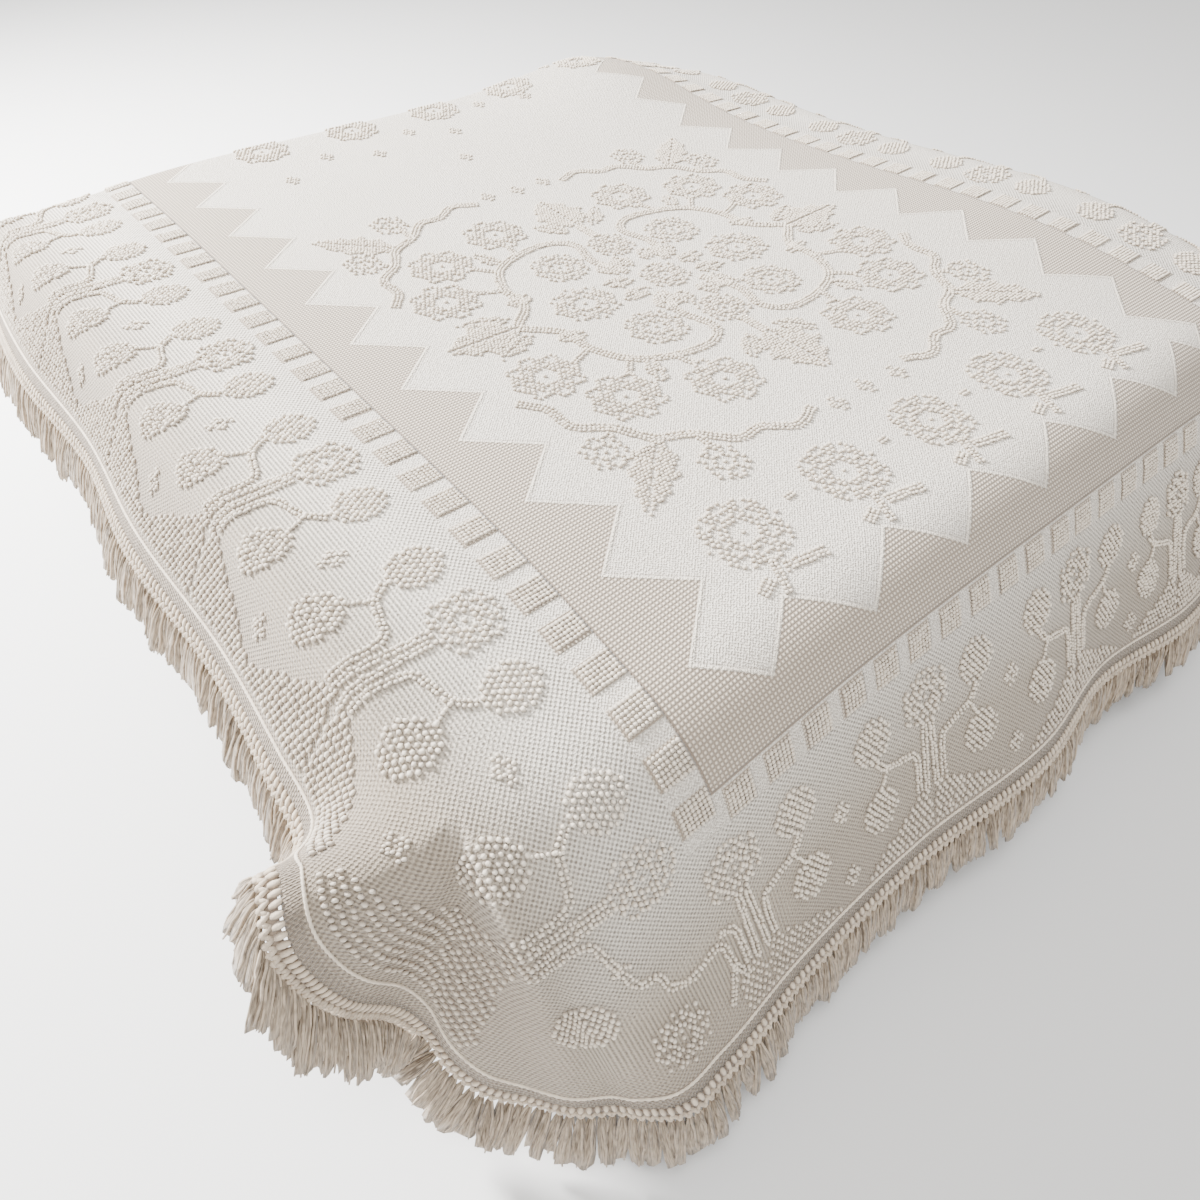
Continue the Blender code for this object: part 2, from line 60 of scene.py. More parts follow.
# ---------------------------------------------------------------- the drape, as in the solids (m)
TOP_Z = 0.66                      # upper face of the cloth on the flat of the bed
FLAT_X = 0.928                    # half width of the flat of the bed, where both shoulders begin
FLAT_FOOT = -0.840                # where the foot shoulder begins
FLAT_HEAD = 0.955                 # where the head shoulder begins
CLOTH_THICK = 0.003               # laid inwards from its upper face
CORNER_ROUND = 0.18               # the two foot corners of the cloth are cut round
HEAD_ROUND = 0.03                 # the two head corners are nearly square
HEM_BAND = 0.025                  # hem of the cloth, below its corded line
MATTRESS_CLEAR = 0.0038           # mattress below the cloth's upper face, on the flat
SHOULDER_CLEAR = 0.0060           # the same at its sides
CORNER_CLEAR = 0.0150             # the same where its corners are soft
BASE_TOP = 0.340                  # upper face of the base
PAD_CLEAR, PAD_UP = 0.0006, 0.0009        # the mattress's surface inside its solid, and off the base
PAD_IN, PIPING = 0.003, 0.0038    # how far its sides are drawn in, and the radius of its piping

# each side's way out, its shoulder's radius, and how far past the flat its corded line is
SIDES = (
    {"side": "foot", "out": (0.0, -1.0), "shoulder": 0.165, "cord": 0.533},
    {"side": "right", "out": (1.0, 0.0), "shoulder": 0.047, "cord": 0.269},
    {"side": "head", "out": (0.0, 1.0), "shoulder": 0.050, "cord": 0.170},
    {"side": "left", "out": (-1.0, 0.0), "shoulder": 0.047, "cord": 0.183},
)
CORNERS = {"foot": (-FLAT_X, FLAT_FOOT), "right": (FLAT_X, FLAT_FOOT),
           "head": (FLAT_X, FLAT_HEAD), "left": (-FLAT_X, FLAT_HEAD)}
CORD = {row["side"]: row["cord"] for row in SIDES}
PAIRS = tuple(zip(SIDES[-1:] + SIDES[:-1], SIDES))   # each side with the one before it
NIL = 1e-9                        # a length too small to count
FRAME_STEP = 0.002                # apart by which directions on the drop are measured
# where the soft mattress top sinks (or, when negative, swells) under the cloth: x, y, depth, spread
SAGS = (
    (-0.820, -1.015, 0.076, 0.232),   # near foot corner
    (0.860, -0.960, 0.030, 0.200),    # far foot corner
    (0.960, 0.960, 0.040, 0.150),     # far head corner
    (-0.920, 1.000, 0.030, 0.180),    # near head corner
    (0.640, 0.840, -0.048, 0.190),    # pillow
    (0.950, -0.460, -0.045, 0.320),   # far edge
    (0.200, 0.150, 0.012, 0.380),     # sleeper's hollow
)
# one row for each fold of the drop: metres along the corded line from where the foot corner on the
# left begins, then in degrees how steeply the cloth falls there, how far it swings along the bed,
# and how far the tassels lean out from upright
FOLDS = (
    (0.000, 16.0, -18.0, 32.0),       # ear on the left
    (0.076, 20.0, -25.0, 34.0),       # ear crest
    (0.150, 41.0, -35.0, 34.0),       # ear face
    (0.196, 54.0, -39.0, 34.0),       # ear foot
    (0.263, 70.0, -44.0, 30.0),       # hollow
    (0.323, 76.0, -39.0, 32.0),       # hollow end
    (0.394, 76.0, -26.0, 38.0),       # corner left
    (0.440, 76.0, -15.0, 40.0),       # corner
    (0.513, 78.0, 0.0, 36.0),         # corner front
    (0.600, 73.0, 9.0, 30.0),         # corner right
    (0.690, 62.0, 7.0, 24.0),         # foot swell
    (0.781, 62.0, 6.0, 20.0),         # foot swell end
    (0.941, 65.0, 5.0, 18.0),         # foot
    (1.254, 66.0, -1.0, 17.0),        # foot middle
    (1.573, 62.0, -2.0, 18.0),        # foot wave
    (1.800, 68.0, 0.0, 17.0),         # foot hollow
    (2.050, 63.0, 0.0, 17.0),         # foot end wave
    (2.300, 68.0, 0.0, 18.0),         # foot end
    (2.520, 76.0, 4.0, 26.0),         # far corner front
    (2.720, 80.0, 12.0, 32.0),        # far corner
    (2.880, 74.0, 13.0, 30.0),        # far corner hollow
    (3.040, 64.0, 10.0, 28.0),        # far ear
    (3.190, 67.0, 4.0, 24.0),         # far ear end
    (3.420, 73.0, 0.0, 18.0),         # right
    (3.700, 66.0, 0.0, 20.0),         # right wave
    (3.960, 75.0, 0.0, 17.0),         # right hollow
    (4.240, 68.0, 0.0, 20.0),         # right second wave
    (4.900, 76.0, 0.0, 16.0),         # right head end
    (5.500, 84.0, 0.0, 10.0),         # head right
    (6.400, 80.0, 0.0, 10.0),         # head middle
    (7.200, 84.0, 0.0, 10.0),         # head left
    (-1.780, 66.0, 0.0, 20.0),        # left head end
    (-1.400, 57.0, 0.0, 22.0),        # left wave
    (-1.080, 64.0, 0.0, 20.0),        # left hollow
    (-0.775, 55.0, 0.0, 22.0),        # left second wave
    (-0.442, 60.0, 0.0, 21.0),        # left long fall
    (-0.260, 55.0, 2.0, 20.0),        # left before the ear
    (-0.150, 51.0, 0.0, 22.0),        # left into the ear
)


# ---------------------------------------------------------------- the shape of the drop
def corner_round(side):
    """Radius of the cloth's corner that follows the given side, counting round the bed."""
    return CORNER_ROUND if side in ("left", "foot") else HEAD_ROUND


def side_run(side):
    """Length of the flat of the bed along a side."""
    return 2 * FLAT_X if side in ("foot", "head") else FLAT_HEAD - FLAT_FOOT


def corner_run(first, second):
    """Length of the corded line round the corner between two sides."""
    r = corner_round(first["side"])
    return first["cord"] + second["cord"] - 2 * r + math.pi * r / 2


def loop_starts():
    """Distance along the corded line at which each side's own straight stretch begins."""
    starts, along = {}, 0.0
    for first, side in PAIRS:
        along += corner_run(first, side)
        starts[side["side"]] = along
        along += side_run(side["side"])
    return starts, along


SIDE_START, LOOP = loop_starts()


def loop_curve(column):
    """Smooth closed curve through one column of FOLDS, as a function of distance along the loop.

    Each stretch between two rows is a cubic whose end slopes come from the rows on either side.
    """
    at, val = np.array(sorted((row[0] % LOOP, row[column]) for row in FOLDS)).T
    at = np.concatenate([at[-2:] - LOOP, at, at[:2] + LOOP])
    val = np.concatenate([val[-2:], val, val[:2]])
    step = np.diff(at)
    rise = np.diff(val) / step
    tangent = np.zeros_like(val)
    tangent[1:-1] = (rise[:-1] * step[1:] + rise[1:] * step[:-1]) / (step[1:] + step[:-1])

    def curve(along):
        """Value of the column at distances along the loop."""
        a = np.mod(along, LOOP)
        i = np.clip(np.searchsorted(at, a, side="right") - 1, 1, len(at) - 3)
        t = (a - at[i]) / step[i]
        return (val[i] * (1 + 2 * t) * (1 - t) ** 2 + tangent[i] * step[i] * t * (1 - t) ** 2
                + val[i + 1] * t ** 2 * (3 - 2 * t) + tangent[i + 1] * step[i] * t ** 2 * (t - 1))
    return curve


SLOPE, SWING, LEAN = (loop_curve(column) for column in (1, 2, 3))


def corner_reach(p1, p2, e1, e2, r):
    """Where a ray from a corner of the flat meets the rounded outline of the cloth.

    p1 and p2 are the ray's parts along the two outward directions, e1 and e2 the outline's distance
    along each, r its rounding. Returns the ray's length to the outline and the distance round it.
    """
    size = np.hypot(p1, p2)
    d1, d2 = p1 / size, p2 / size
    m1, m2 = e1 - r, e2 - r
    along_first = e1 * d2 / np.maximum(d1, NIL)
    along_second = e2 * d1 / np.maximum(d2, NIL)
    on_first = along_first <= m2
    on_second = ~on_first & (along_second <= m1)
    dot = d1 * m1 + d2 * m2
    arc = dot + np.sqrt(np.maximum(dot ** 2 - m1 ** 2 - m2 ** 2 + r ** 2, 0.0))
    turn = np.arctan2(arc * d2 - m2, arc * d1 - m1)
    reach = np.where(on_first, e1 / np.maximum(d1, NIL),
                     np.where(on_second, e2 / np.maximum(d2, NIL), arc))
    round_it = np.where(on_first, along_first,
                        np.where(on_second, m2 + math.pi * r / 2 + m1 - along_second, m2 + turn * r))
    return reach, round_it


def sag(x, y):
    """Depth by which the soft bed sinks at x, y: a sum of round hollows."""
    total = np.zeros_like(x)
    for at_x, at_y, depth, spread in SAGS:
        total += depth * np.exp(-((x - at_x) ** 2 + (y - at_y) ** 2) / (2 * spread ** 2))
    return total


def fall(s, radius, slope):
    """Path over the shoulder: a circular arc down to the slope, then a straight line.

    Returns how far out and how far down the cloth is after a length s of it.
    """
    arc = np.minimum(s / radius, slope)
    rest = np.maximum(s - radius * slope, 0.0)
    return (radius * np.sin(arc) + rest * np.cos(slope),
            radius * (1 - np.cos(arc)) + rest * np.sin(slope))


def corner_shoulder(p1, p2, along, first, side):
    """Radius of the shoulder between two sides, for a way out whose parts are p1 and p2.

    It follows an oval whose half axes are the two sides' own radii, turned by the cloth's swing.
    """
    turn = np.clip(np.arctan2(p2, p1) + np.radians(SWING(along)), 0.0, math.pi / 2)
    return 1 / np.hypot(np.cos(turn) / first["shoulder"], np.sin(turn) / side["shoulder"])


def unit(vectors):
    """Vectors scaled to length 1."""
    return vectors / np.maximum(np.linalg.norm(vectors, axis=-1), NIL)[..., None]


def drape(u, v):
    """Place of points of the flat cloth on the bed. Flat and draped agree on the flat of the bed.

    Beyond it, a point goes out from the nearest edge of the flat by the path of fall(), whose slope
    and sideways swing are read from FOLDS where its line meets the corded line of the hem.
    """
    u, v = np.asarray(u, float), np.asarray(v, float)
    base = np.stack([np.clip(u, -FLAT_X, FLAT_X), np.clip(v, FLAT_FOOT, FLAT_HEAD)], -1)
    off = np.stack([u, v], -1) - base
    s = np.hypot(off[..., 0], off[..., 1])
    reach, along, radius = np.ones_like(s), np.zeros_like(s), np.ones_like(s)
    from_start = {"foot": base[..., 0] + FLAT_X, "right": base[..., 1] - FLAT_FOOT,
                  "head": FLAT_X - base[..., 0], "left": FLAT_HEAD - base[..., 1]}
    for first, side in PAIRS:
        name = side["side"]
        p1, p2 = off @ np.array(first["out"]), off @ np.array(side["out"])
        straight = (p2 > 0) & (np.abs(p1) < NIL)
        reach = np.where(straight, side["cord"], reach)
        along = np.where(straight, SIDE_START[name] + from_start[name], along)
        radius = np.where(straight, side["shoulder"], radius)
        corner = (p1 > NIL) & (p2 > NIL)
        p1, p2 = np.where(corner, p1, 1.0), np.where(corner, p2, 1.0)
        c_reach, c_round = corner_reach(p1, p2, first["cord"], side["cord"], corner_round(first["side"]))
        c_along = SIDE_START[name] - corner_run(first, side) + c_round
        reach = np.where(corner, c_reach, reach)
        along = np.where(corner, c_along, along)
        radius = np.where(corner, corner_shoulder(p1, p2, c_along, first, side), radius)
    slope, swing = np.radians(SLOPE(along)), np.radians(SWING(along))
    out, down = fall(s, radius, slope)
    way = off / np.maximum(s, NIL)[..., None]
    cross = np.stack([-way[..., 1], way[..., 0]], -1)
    share = np.clip(s / reach, 0.0, 1.0)
    share = (share * share * (3 - 2 * share))[..., None]
    turned = way * np.cos(swing)[..., None] + cross * np.sin(swing)[..., None]
    place = base + out[..., None] * (way * (1 - share) + turned * share)
    height = TOP_Z - down - sag(place[..., 0], place[..., 1])
    return np.concatenate([place, height[..., None]], -1)


def hem_line(along):
    """Flat start, flat place and outward direction of the corded line, for an array of distances.

    On a side the place runs straight. Round a corner it runs straight, then on a quarter circle of
    the corner's rounding, then straight again, all measured along the line itself.
    """
    along = np.mod(np.asarray(along, float), LOOP)
    start, place, face = (np.zeros(along.shape + (2,)) for _ in range(3))
    for first, side in PAIRS:
        corner, out, before = (np.array(p) for p in (CORNERS[side["side"]], side["out"], first["out"]))
        run = corner_run(first, side)
        past = (along - SIDE_START[side["side"]] + run)[..., None]
        r = corner_round(first["side"])
        turn = np.clip((past - side["cord"] + r) / r, 0.0, math.pi / 2)
        way = before * np.cos(turn) + out * np.sin(turn)
        middle = corner + before * (first["cord"] - r) + out * (side["cord"] - r)
        bend = np.where(turn <= 0.0, corner + before * first["cord"] + out * past,
                        np.where(turn >= math.pi / 2, corner + before * (run - past) + out * side["cord"],
                                 middle + way * r))
        onward = corner - before * (past - run)
        straight = past >= run
        mine = (past >= 0) & (past < run + side_run(side["side"]) + NIL)
        start = np.where(mine, np.where(straight, onward, corner), start)
        place = np.where(mine, np.where(straight, onward + out * side["cord"], bend), place)
        face = np.where(mine, np.where(straight, out, way), face)
    return start, place, face


def edge_frames(alongs, beyond):
    """Points on the drop outside the corded line, the way along, the way down and the normal there."""
    _, place, face = hem_line(alongs)
    flat = place + face * beyond
    side = np.stack([-face[:, 1], face[:, 0]], -1) * FRAME_STEP
    here, lower, ahead, behind = (drape(*(flat + shift).T)
                                  for shift in (0.0, face * FRAME_STEP, side, -side))
    down, across = unit(lower - here), unit(ahead - behind)
    return here, across, down, unit(np.cross(down, across))


def surface_frames(u, v):
    """Points on the cloth, unit tangents along u and v, the outward normal, and both stretches."""
    step = 0.0015
    along_u = drape(u + step, v) - drape(u - step, v)
    along_v = drape(u, v + step) - drape(u, v - step)
    stretch = [np.linalg.norm(part, axis=1)[:, None] / (2 * step) for part in (along_u, along_v)]
    return drape(u, v), unit(along_u), unit(along_v), unit(np.cross(along_u, along_v)), stretch


# ---------------------------------------------------------------- meshes from arrays
def add_piece(name, points, triangles):
    """Smooth mesh object from arrays of points and of triangles, riding on the bed."""
    mesh = bpy.data.meshes.new(name)
    corners = np.ascontiguousarray(triangles, dtype=np.int32)
    mesh.vertices.add(len(points))
    mesh.vertices.foreach_set("co", np.ascontiguousarray(points, dtype=np.float32).ravel())
    mesh.loops.add(corners.size)
    mesh.loops.foreach_set("vertex_index", corners.ravel())
    mesh.polygons.add(len(corners))
    mesh.polygons.foreach_set("loop_start", np.arange(0, corners.size, 3, dtype=np.int32))
    mesh.polygons.foreach_set("use_smooth", np.full(len(corners), True))
    mesh.update(calc_edges=True)
    obj = bpy.data.objects.new(name, mesh)
    bpy.context.scene.collection.objects.link(obj)
    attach(obj, "root")
    return obj


def set_attribute(obj, name, values):
    """Float attribute on the points of a piece, for its material to read."""
    layer = obj.data.attributes.new(name, "FLOAT", "POINT")
    layer.data.foreach_set("value", np.ascontiguousarray(values, dtype=np.float32).ravel())


def set_uv(obj, name, flat):
    """UV map whose coordinates are the flat cloth's own, in metres."""
    corners = np.empty(len(obj.data.loops), dtype=np.int32)
    obj.data.loops.foreach_get("vertex_index", corners)
    layer = obj.data.uv_layers.new(name=name)
    layer.data.foreach_set("uv", np.ascontiguousarray(flat[corners], dtype=np.float32).ravel())


def ring_faces(rings, sides, low_pole, high_pole):
    """Triangles of one turned form: bands between rings, then a fan at each end.

    A pole is one more point after the rings. An end with no pole is closed across its own ring.
    """
    i = np.arange(sides)
    j = (i + 1) % sides
    faces = []
    for a in range(0, (rings - 1) * sides, sides):
        b = a + sides
        faces += [np.stack([a + i, a + j, b + j], -1), np.stack([a + i, b + j, b + i], -1)]
    top, pole = (rings - 1) * sides, rings * sides
    fan = np.arange(1, sides - 1)
    if low_pole:
        faces.append(np.stack([np.full(sides, pole), j, i], -1))
        pole += 1
    else:
        faces.append(np.stack([np.zeros_like(fan), fan + 1, fan], -1))
    if high_pole:
        faces.append(np.stack([top + i, top + j, np.full(sides, pole)], -1))
    else:
        faces.append(np.stack([np.full_like(fan, top), top + fan, top + fan + 1], -1))
    return np.concatenate(faces)


def many(points, faces):
    """Points and triangles of a form repeated: points has one row for each copy."""
    count, size = points.shape[:2]
    shift = (np.arange(count) * size)[:, None, None]
    return points.reshape(-1, 3), (faces[None] + shift).reshape(-1, 3)


def joined(forms):
    """Points and triangles of several forms, as one."""
    starts = np.cumsum([0] + [len(points) for points, _ in forms[:-1]])
    return (np.concatenate([points for points, _ in forms]),
            np.concatenate([faces + start for (_, faces), start in zip(forms, starts)]))


def turned(centres, across, along, axis, profile, sides, spin):
    """Closed round forms: a profile of radius and height turned about each axis.

    A point is centre + r (across cos t + along sin t) + h axis, for t round the form. A profile
    that starts or ends with r = 0 has a pole there.
    """
    angle = spin[:, None] + np.arange(sides) * 2 * math.pi / sides
    ring = (across[:, None] * np.cos(angle)[..., None] + along[:, None] * np.sin(angle)[..., None])
    body = [r for r in profile if r[0] > 0]
    parts = [centres[:, None] + ring * r + axis[:, None] * h for r, h in body]
    ends = [profile[0][0] == 0, profile[-1][0] == 0]
    parts += [(centres + axis * h)[:, None] for r, h in (profile[0], profile[-1]) if r == 0]
    return many(np.concatenate(parts, 1), ring_faces(len(body), sides, *ends))


def tubes(paths, radius, sides, across):
    """Closed tubes: a circle of the given radius carried along each path.

    A point is path + r (a cos t + b sin t), with a and b square to the path's own direction.
    """
    way = unit(np.gradient(paths, axis=1))
    a = unit(np.cross(way, across))
    b = np.cross(way, a)
    angle = np.arange(sides) * 2 * math.pi / sides
    ring = a[:, :, None] * np.cos(angle)[:, None] + b[:, :, None] * np.sin(angle)[:, None]
    size = np.broadcast_to(radius, paths.shape[:2])
    points = paths[:, :, None] + ring * size[:, :, None, None]
    return many(points.reshape(paths.shape[0], -1, 3), ring_faces(paths.shape[1], sides, False, False))


def smooth_path(points, spacing, closed=False):
    """Evenly spaced points on the smooth curve through the given ones (Catmull-Rom cubics).

    On a closed path, the directions at its two ends are those of a ring.
    """
    p = np.array(points, float)
    ends = (p[-1:], p[:1]) if closed else (2 * p[:1] - p[1:2], 2 * p[-1:] - p[-2:-1])
    q = np.concatenate([ends[0], p, ends[1]])
    t = np.linspace(0, 1, 24, endpoint=False)[:, None, None]
    a, b, c, d = (q[i:len(q) - 3 + i][None] for i in range(4))
    curve = 0.5 * (2 * b + (c - a) * t + (2 * a - 5 * b + 4 * c - d) * t ** 2
                   + (3 * b - a - 3 * c + d) * t ** 3)
    curve = np.concatenate([curve.transpose(1, 0, 2).reshape(-1, p.shape[1]), p[-1:]])
    run = np.concatenate([[0], np.cumsum(np.linalg.norm(np.diff(curve, axis=0), axis=1))])
    marks = np.linspace(0, run[-1], max(2, round(run[-1] / spacing) + 1))
    return np.stack([np.interp(marks, run, curve[:, i]) for i in range(p.shape[1])], -1)


# ---------------------------------------------------------------- the pattern on the flat cloth (m)
CENTRE_U = 0.0432                 # middle of the cloth's width
BAND_IN, BAND_OUT = 0.7044, 0.7617        # checked band on the long sides, from the middle
BLOCK_PITCH, BLOCK_LONG, BLOCK_MIDDLE = 0.0705, 0.046, -0.652   # its blocks, and where one stands
FOOT_IN, FOOT_OUT = -1.004, -1.054        # checked band on the foot
FOOT_PITCH, FOOT_LONG, FOOT_MIDDLE = 0.0695, 0.048, -0.621
# teeth of the border on the long sides, then on the foot: their spacing, where their valleys and
# tips lie, and the place of one valley along the border
TOOTH_LONG, TOOTH_VALLEY, TOOTH_TIP, TOOTH_AT = 0.1753, 0.6417, 0.5406, -0.8587
FOOT_TOOTH, FOOT_VALLEY, FOOT_TIP, FOOT_TOOTH_AT = 0.2022, -0.9503, -0.8625, -0.5337
NUB = 0.0063                      # spacing of the small loops of the border
GRAIN = 0.0054                    # repeat of the ground weave, a little coarse so that it shows
PILE_U, PILE_V = 0.0092, 0.0080   # spacing of the tufts across and along the cloth
BEAD = 0.0070                     # spacing of the small tufts of stems
KNOB = 0.0082                     # repeat of the coarser ground of the drops
RIB = 0.0064                      # repeat of the ribs on the drops
RIBBED_MIDDLE, RIBBED_HALF = 0.170, 0.150 # where they are, out from the checked bands
HEM_RIB, HEM_WEFT = 0.0046, 0.0062        # repeats of the hem, along it and down it, a little coarse
# ticking and upholstery have finer threads than these, which are coarse so that they show
TWILL, TWILL_TURN, QUILT = 0.0024, 0.009, 0.110   # ticking: threads, herringbone, quilting
SLUB_THREAD = 0.0022              # threads of the base's upholstery
BORDER_FOOT = -1.0                # where the border ends at the foot
BAND_FOOT, BAND_HEAD = -1.052, 1.07       # where the side bands end
CORNER_FROM, SIDE_HEAD = -0.86, 1.09      # the side's trees stand between these
LEFT_START, FOOT_START = -0.711, -1.056   # where the patterns of the drops begin
FOOT_SQUEEZE = 0.866              # a tree of the foot is this much shorter
MEDALLION_AT = (0.022, -0.112)    # centre of the middle motif
# the fringe, below the hem: middle of its barrel loops, start of its cords, and its knots
BARREL_DOWN, CORD_DOWN, KNOT_DOWN = 0.0058, 0.0125, 0.0225
CORD_CROSS = 0.56                 # a cord starts this share of the way to the next tassel
CORD_THICK = (0.0025, 0.0032, 0.0030)     # its radius at its start, middle and end
CORD_PLY = 0.0042                 # half a twist of the hem's corded line
YARN_LONG = 0.085                 # length of a bunch of yarn in its UV map
ANY_TURN = 6.28                   # a random turn goes up to this, in radians
TASSEL_T = (0.0, 0.11, 0.34, 0.70, 1.0)   # down a tassel, where it has the next two half sizes
TASSEL_WIDE = (0.0030, 0.0054, 0.0076, 0.0084, 0.0080)
TASSEL_DEEP = (0.0030, 0.0050, 0.0066, 0.0062, 0.0046)
STRAND_T = (0.0, 0.12, 0.36, 0.64, 0.86, 1.03)      # down a loose strand, and its radius there
STRAND_THICK = (0.0013, 0.0017, 0.0019, 0.0018, 0.0017, 0.0013)
PILE_HEIGHT, TASSEL_PITCH = 0.0042, 0.0128          # settings that these tables are drawn for
# profiles of radius and height: tufts as shares of their size, barrel loops and knots in metres
LOW_TUFT = ((0.86, -0.16), (0.98, 0.50), (0.0, 1.0))
FULL_TUFT = ((0.84, -0.16), (1.0, 0.42), (0.66, 0.86), (0.0, 1.0))
BARREL = ((0.0, -0.0080), (0.0036, -0.0064), (0.0049, 0.0), (0.0036, 0.0064), (0.0, 0.0080))
KNOT = ((0.0, -0.0050), (0.0036, -0.0030), (0.0050, 0.0002), (0.0038, 0.0032), (0.0, 0.0050))
# corners of a dark strip behind the heading, painted shade in the holes between its cords: down the drop,
# and out from it
SHADE_STRIP = np.array([(0.0040, -0.0010), (0.0195, -0.0010), (0.0195, -0.0030), (0.0040, -0.0030)])
# half width, half length and height of a tuft, for each motif
ROSETTE_TUFT, DISC_TUFT = (0.0041, 0.0038, 0.0058), (0.0043, 0.0038, 0.0056)
SPRIG_TUFT, LEAF_TUFT = (0.0037, 0.0034, 0.0040), (0.0036, 0.0034, 0.0052)
STEM_TUFT, BLOCK_LOOP = (0.0034, 0.0034, 0.0050), (0.0035, 0.0034, 0.0048)
# spacing of the tufts across and along a motif, where it isn't that of the rosettes
DISC_ROWS, SPRIG_ROWS, LEAF_ROWS = (0.0096, 0.0080), (0.0072, 0.0062), (0.0068, 0.0062)
WEDGE_ROWS, BLOCK_ROWS = (0.0104, 0.0112), (0.0064, 0.0062)

# one quarter of the middle motif, mirrored to the other three: flowers (x, y, size), leaves (x, y,
# their tip, half width), stems (rows of tufts, the points of their line) and sprigs (x, y)
FLOWERS = (
    (0.172, 0.345, 0.067), (0.338, 0.285, 0.067), (0.408, 0.158, 0.067), (0.200, 0.000, 0.066),
    (0.150, 0.146, 0.060), (0.000, 0.168, 0.052), (0.000, 0.000, 0.052), (0.458, 0.380, 0.042),
    (0.330, 0.508, 0.042),
)
LEAVES = (
    (0.352, 0.000, (0.505, 0.000), 0.052), (0.000, 0.275, (0.000, 0.430), 0.060),
    (0.046, 0.060, (0.098, 0.112), 0.030), (0.062, 0.022, (0.134, 0.034), 0.022),
    (0.022, 0.066, (0.040, 0.128), 0.018), (0.372, 0.402, (0.500, 0.528), 0.040),
    (0.262, 0.088, (0.330, 0.074), 0.020), (0.235, 0.222, (0.262, 0.300), 0.018),
    (0.345, 0.030, (0.445, 0.074), 0.020), (0.030, 0.262, (0.092, 0.338), 0.020),
)
VINES = (
    (3, ((0.000, 0.222), (0.000, 0.276))),
    (3, ((0.052, 0.052), (0.078, 0.130), (0.062, 0.205), (0.105, 0.246), (0.190, 0.238),
         (0.258, 0.200), (0.292, 0.130), (0.296, 0.062), (0.352, 0.004))),
    (2, ((0.190, 0.238), (0.180, 0.282))),
    (2, ((0.258, 0.200), (0.292, 0.238))),
    (2, ((0.292, 0.130), (0.342, 0.152))),
    (3, ((0.118, 0.492), (0.172, 0.512), (0.222, 0.480), (0.272, 0.478), (0.322, 0.426),
         (0.376, 0.398), (0.412, 0.338), (0.460, 0.298), (0.462, 0.240), (0.492, 0.196))),
    (2, ((0.322, 0.426), (0.318, 0.468))),
    (2, ((0.412, 0.338), (0.430, 0.352))),
)
SPRIGS = ((0.000, 0.505), (0.076, 0.512))
# small sprigs near the head, and rosettes of the field, in flat cloth coordinates
HEAD_SPRIGS = ((-0.369, 0.726), (-0.243, 0.806), (-0.130, 0.753), (-0.003, 0.833), (0.096, 0.773),
               (0.243, 0.886), (0.362, 0.839), (0.522, 0.972), (0.622, 0.879), (0.030, 0.620))
FIELD_FLOWERS = tuple((-0.393 + 0.2112 * k, -0.745, 0.070) for k in range(5))
HEAD_FLOWERS = tuple((-0.355 + 0.2400 * k, 0.925, 0.068) for k in range(5))

# trees of the long sides, by their place along the cloth; of the foot, with their own spread
SIDE_TREES = (-0.635, -0.260, 0.115, 0.490, 0.865)
FOOT_TREES = ((-0.275, 0.390), (0.115, 0.390), (0.445, 0.300))
TREE_SPREAD, SIDE_LIMIT, FOOT_LIMIT = 0.375, 0.392, 0.358   # width of a tree, depth of its drop
DISC_ASIDE, DISC_OUT = 0.112, (0.079, 0.224)                # its round leaves, two on either side
# right half of a tree's stems: rows of tufts, and the points of their line
TREE_STEMS = (
    (2, ((0.027, 0.254), (0.027, 0.196), (0.034, 0.170), (0.060, 0.160), (0.090, 0.150),
         (0.108, 0.128))),
    (2, ((0.0075, 0.130), (0.0105, 0.262))),
    (1, ((0.090, 0.150), (0.104, 0.180))),
)
# the near corner, mirrored at the far one, has a tree of each border that meet in a winding stem
CORNER_TREE, CORNER_FOOT_TREE, CORNER_LONG = -1.030, -0.665, 0.0043
CORNER_DISCS = ((-0.938, -1.190, 0.044, 0.044),)
CORNER_FLOWERS = ((-0.830, -1.290, 0.050),)
CORNER_SPRIGS = ((-0.860, -0.830), (-1.010, -0.845))
CORNER_VINES = (
    ((-0.862, -1.128), (-0.848, -1.165), (-0.822, -1.172), (-0.812, -1.204), (-0.780, -1.219),
     (-0.726, -1.212), (-0.716, -1.262), (-0.700, -1.300)),
    ((-0.716, -1.262), (-0.742, -1.318)),
)


def lattice(low_u, high_u, low_v, high_v, pitch_u=PILE_U, pitch_v=PILE_V):
    """Staggered places: rows a pitch apart, each row shifted by half a pitch from the last."""
    rows = np.arange(math.floor(low_v / pitch_v), math.ceil(high_v / pitch_v) + 1)
    cols = np.arange(math.floor(low_u / pitch_u) - 1, math.ceil(high_u / pitch_u) + 1)
    u = cols[None, :] * pitch_u + (rows[:, None] % 2) * pitch_u / 2
    v = np.broadcast_to(rows[:, None] * pitch_v, u.shape)
    u, v = u.ravel(), v.ravel()
    keep = (u >= low_u) & (u <= high_u) & (v >= low_v) & (v <= high_v)
    return u[keep], v[keep]


def marks(u, v, half_u, half_v, height):
    """Rows of one tuft each: flat place, half width, half length and height."""
    return np.stack(np.broadcast_arrays(u, v, half_u, half_v, height), -1).astype(float)


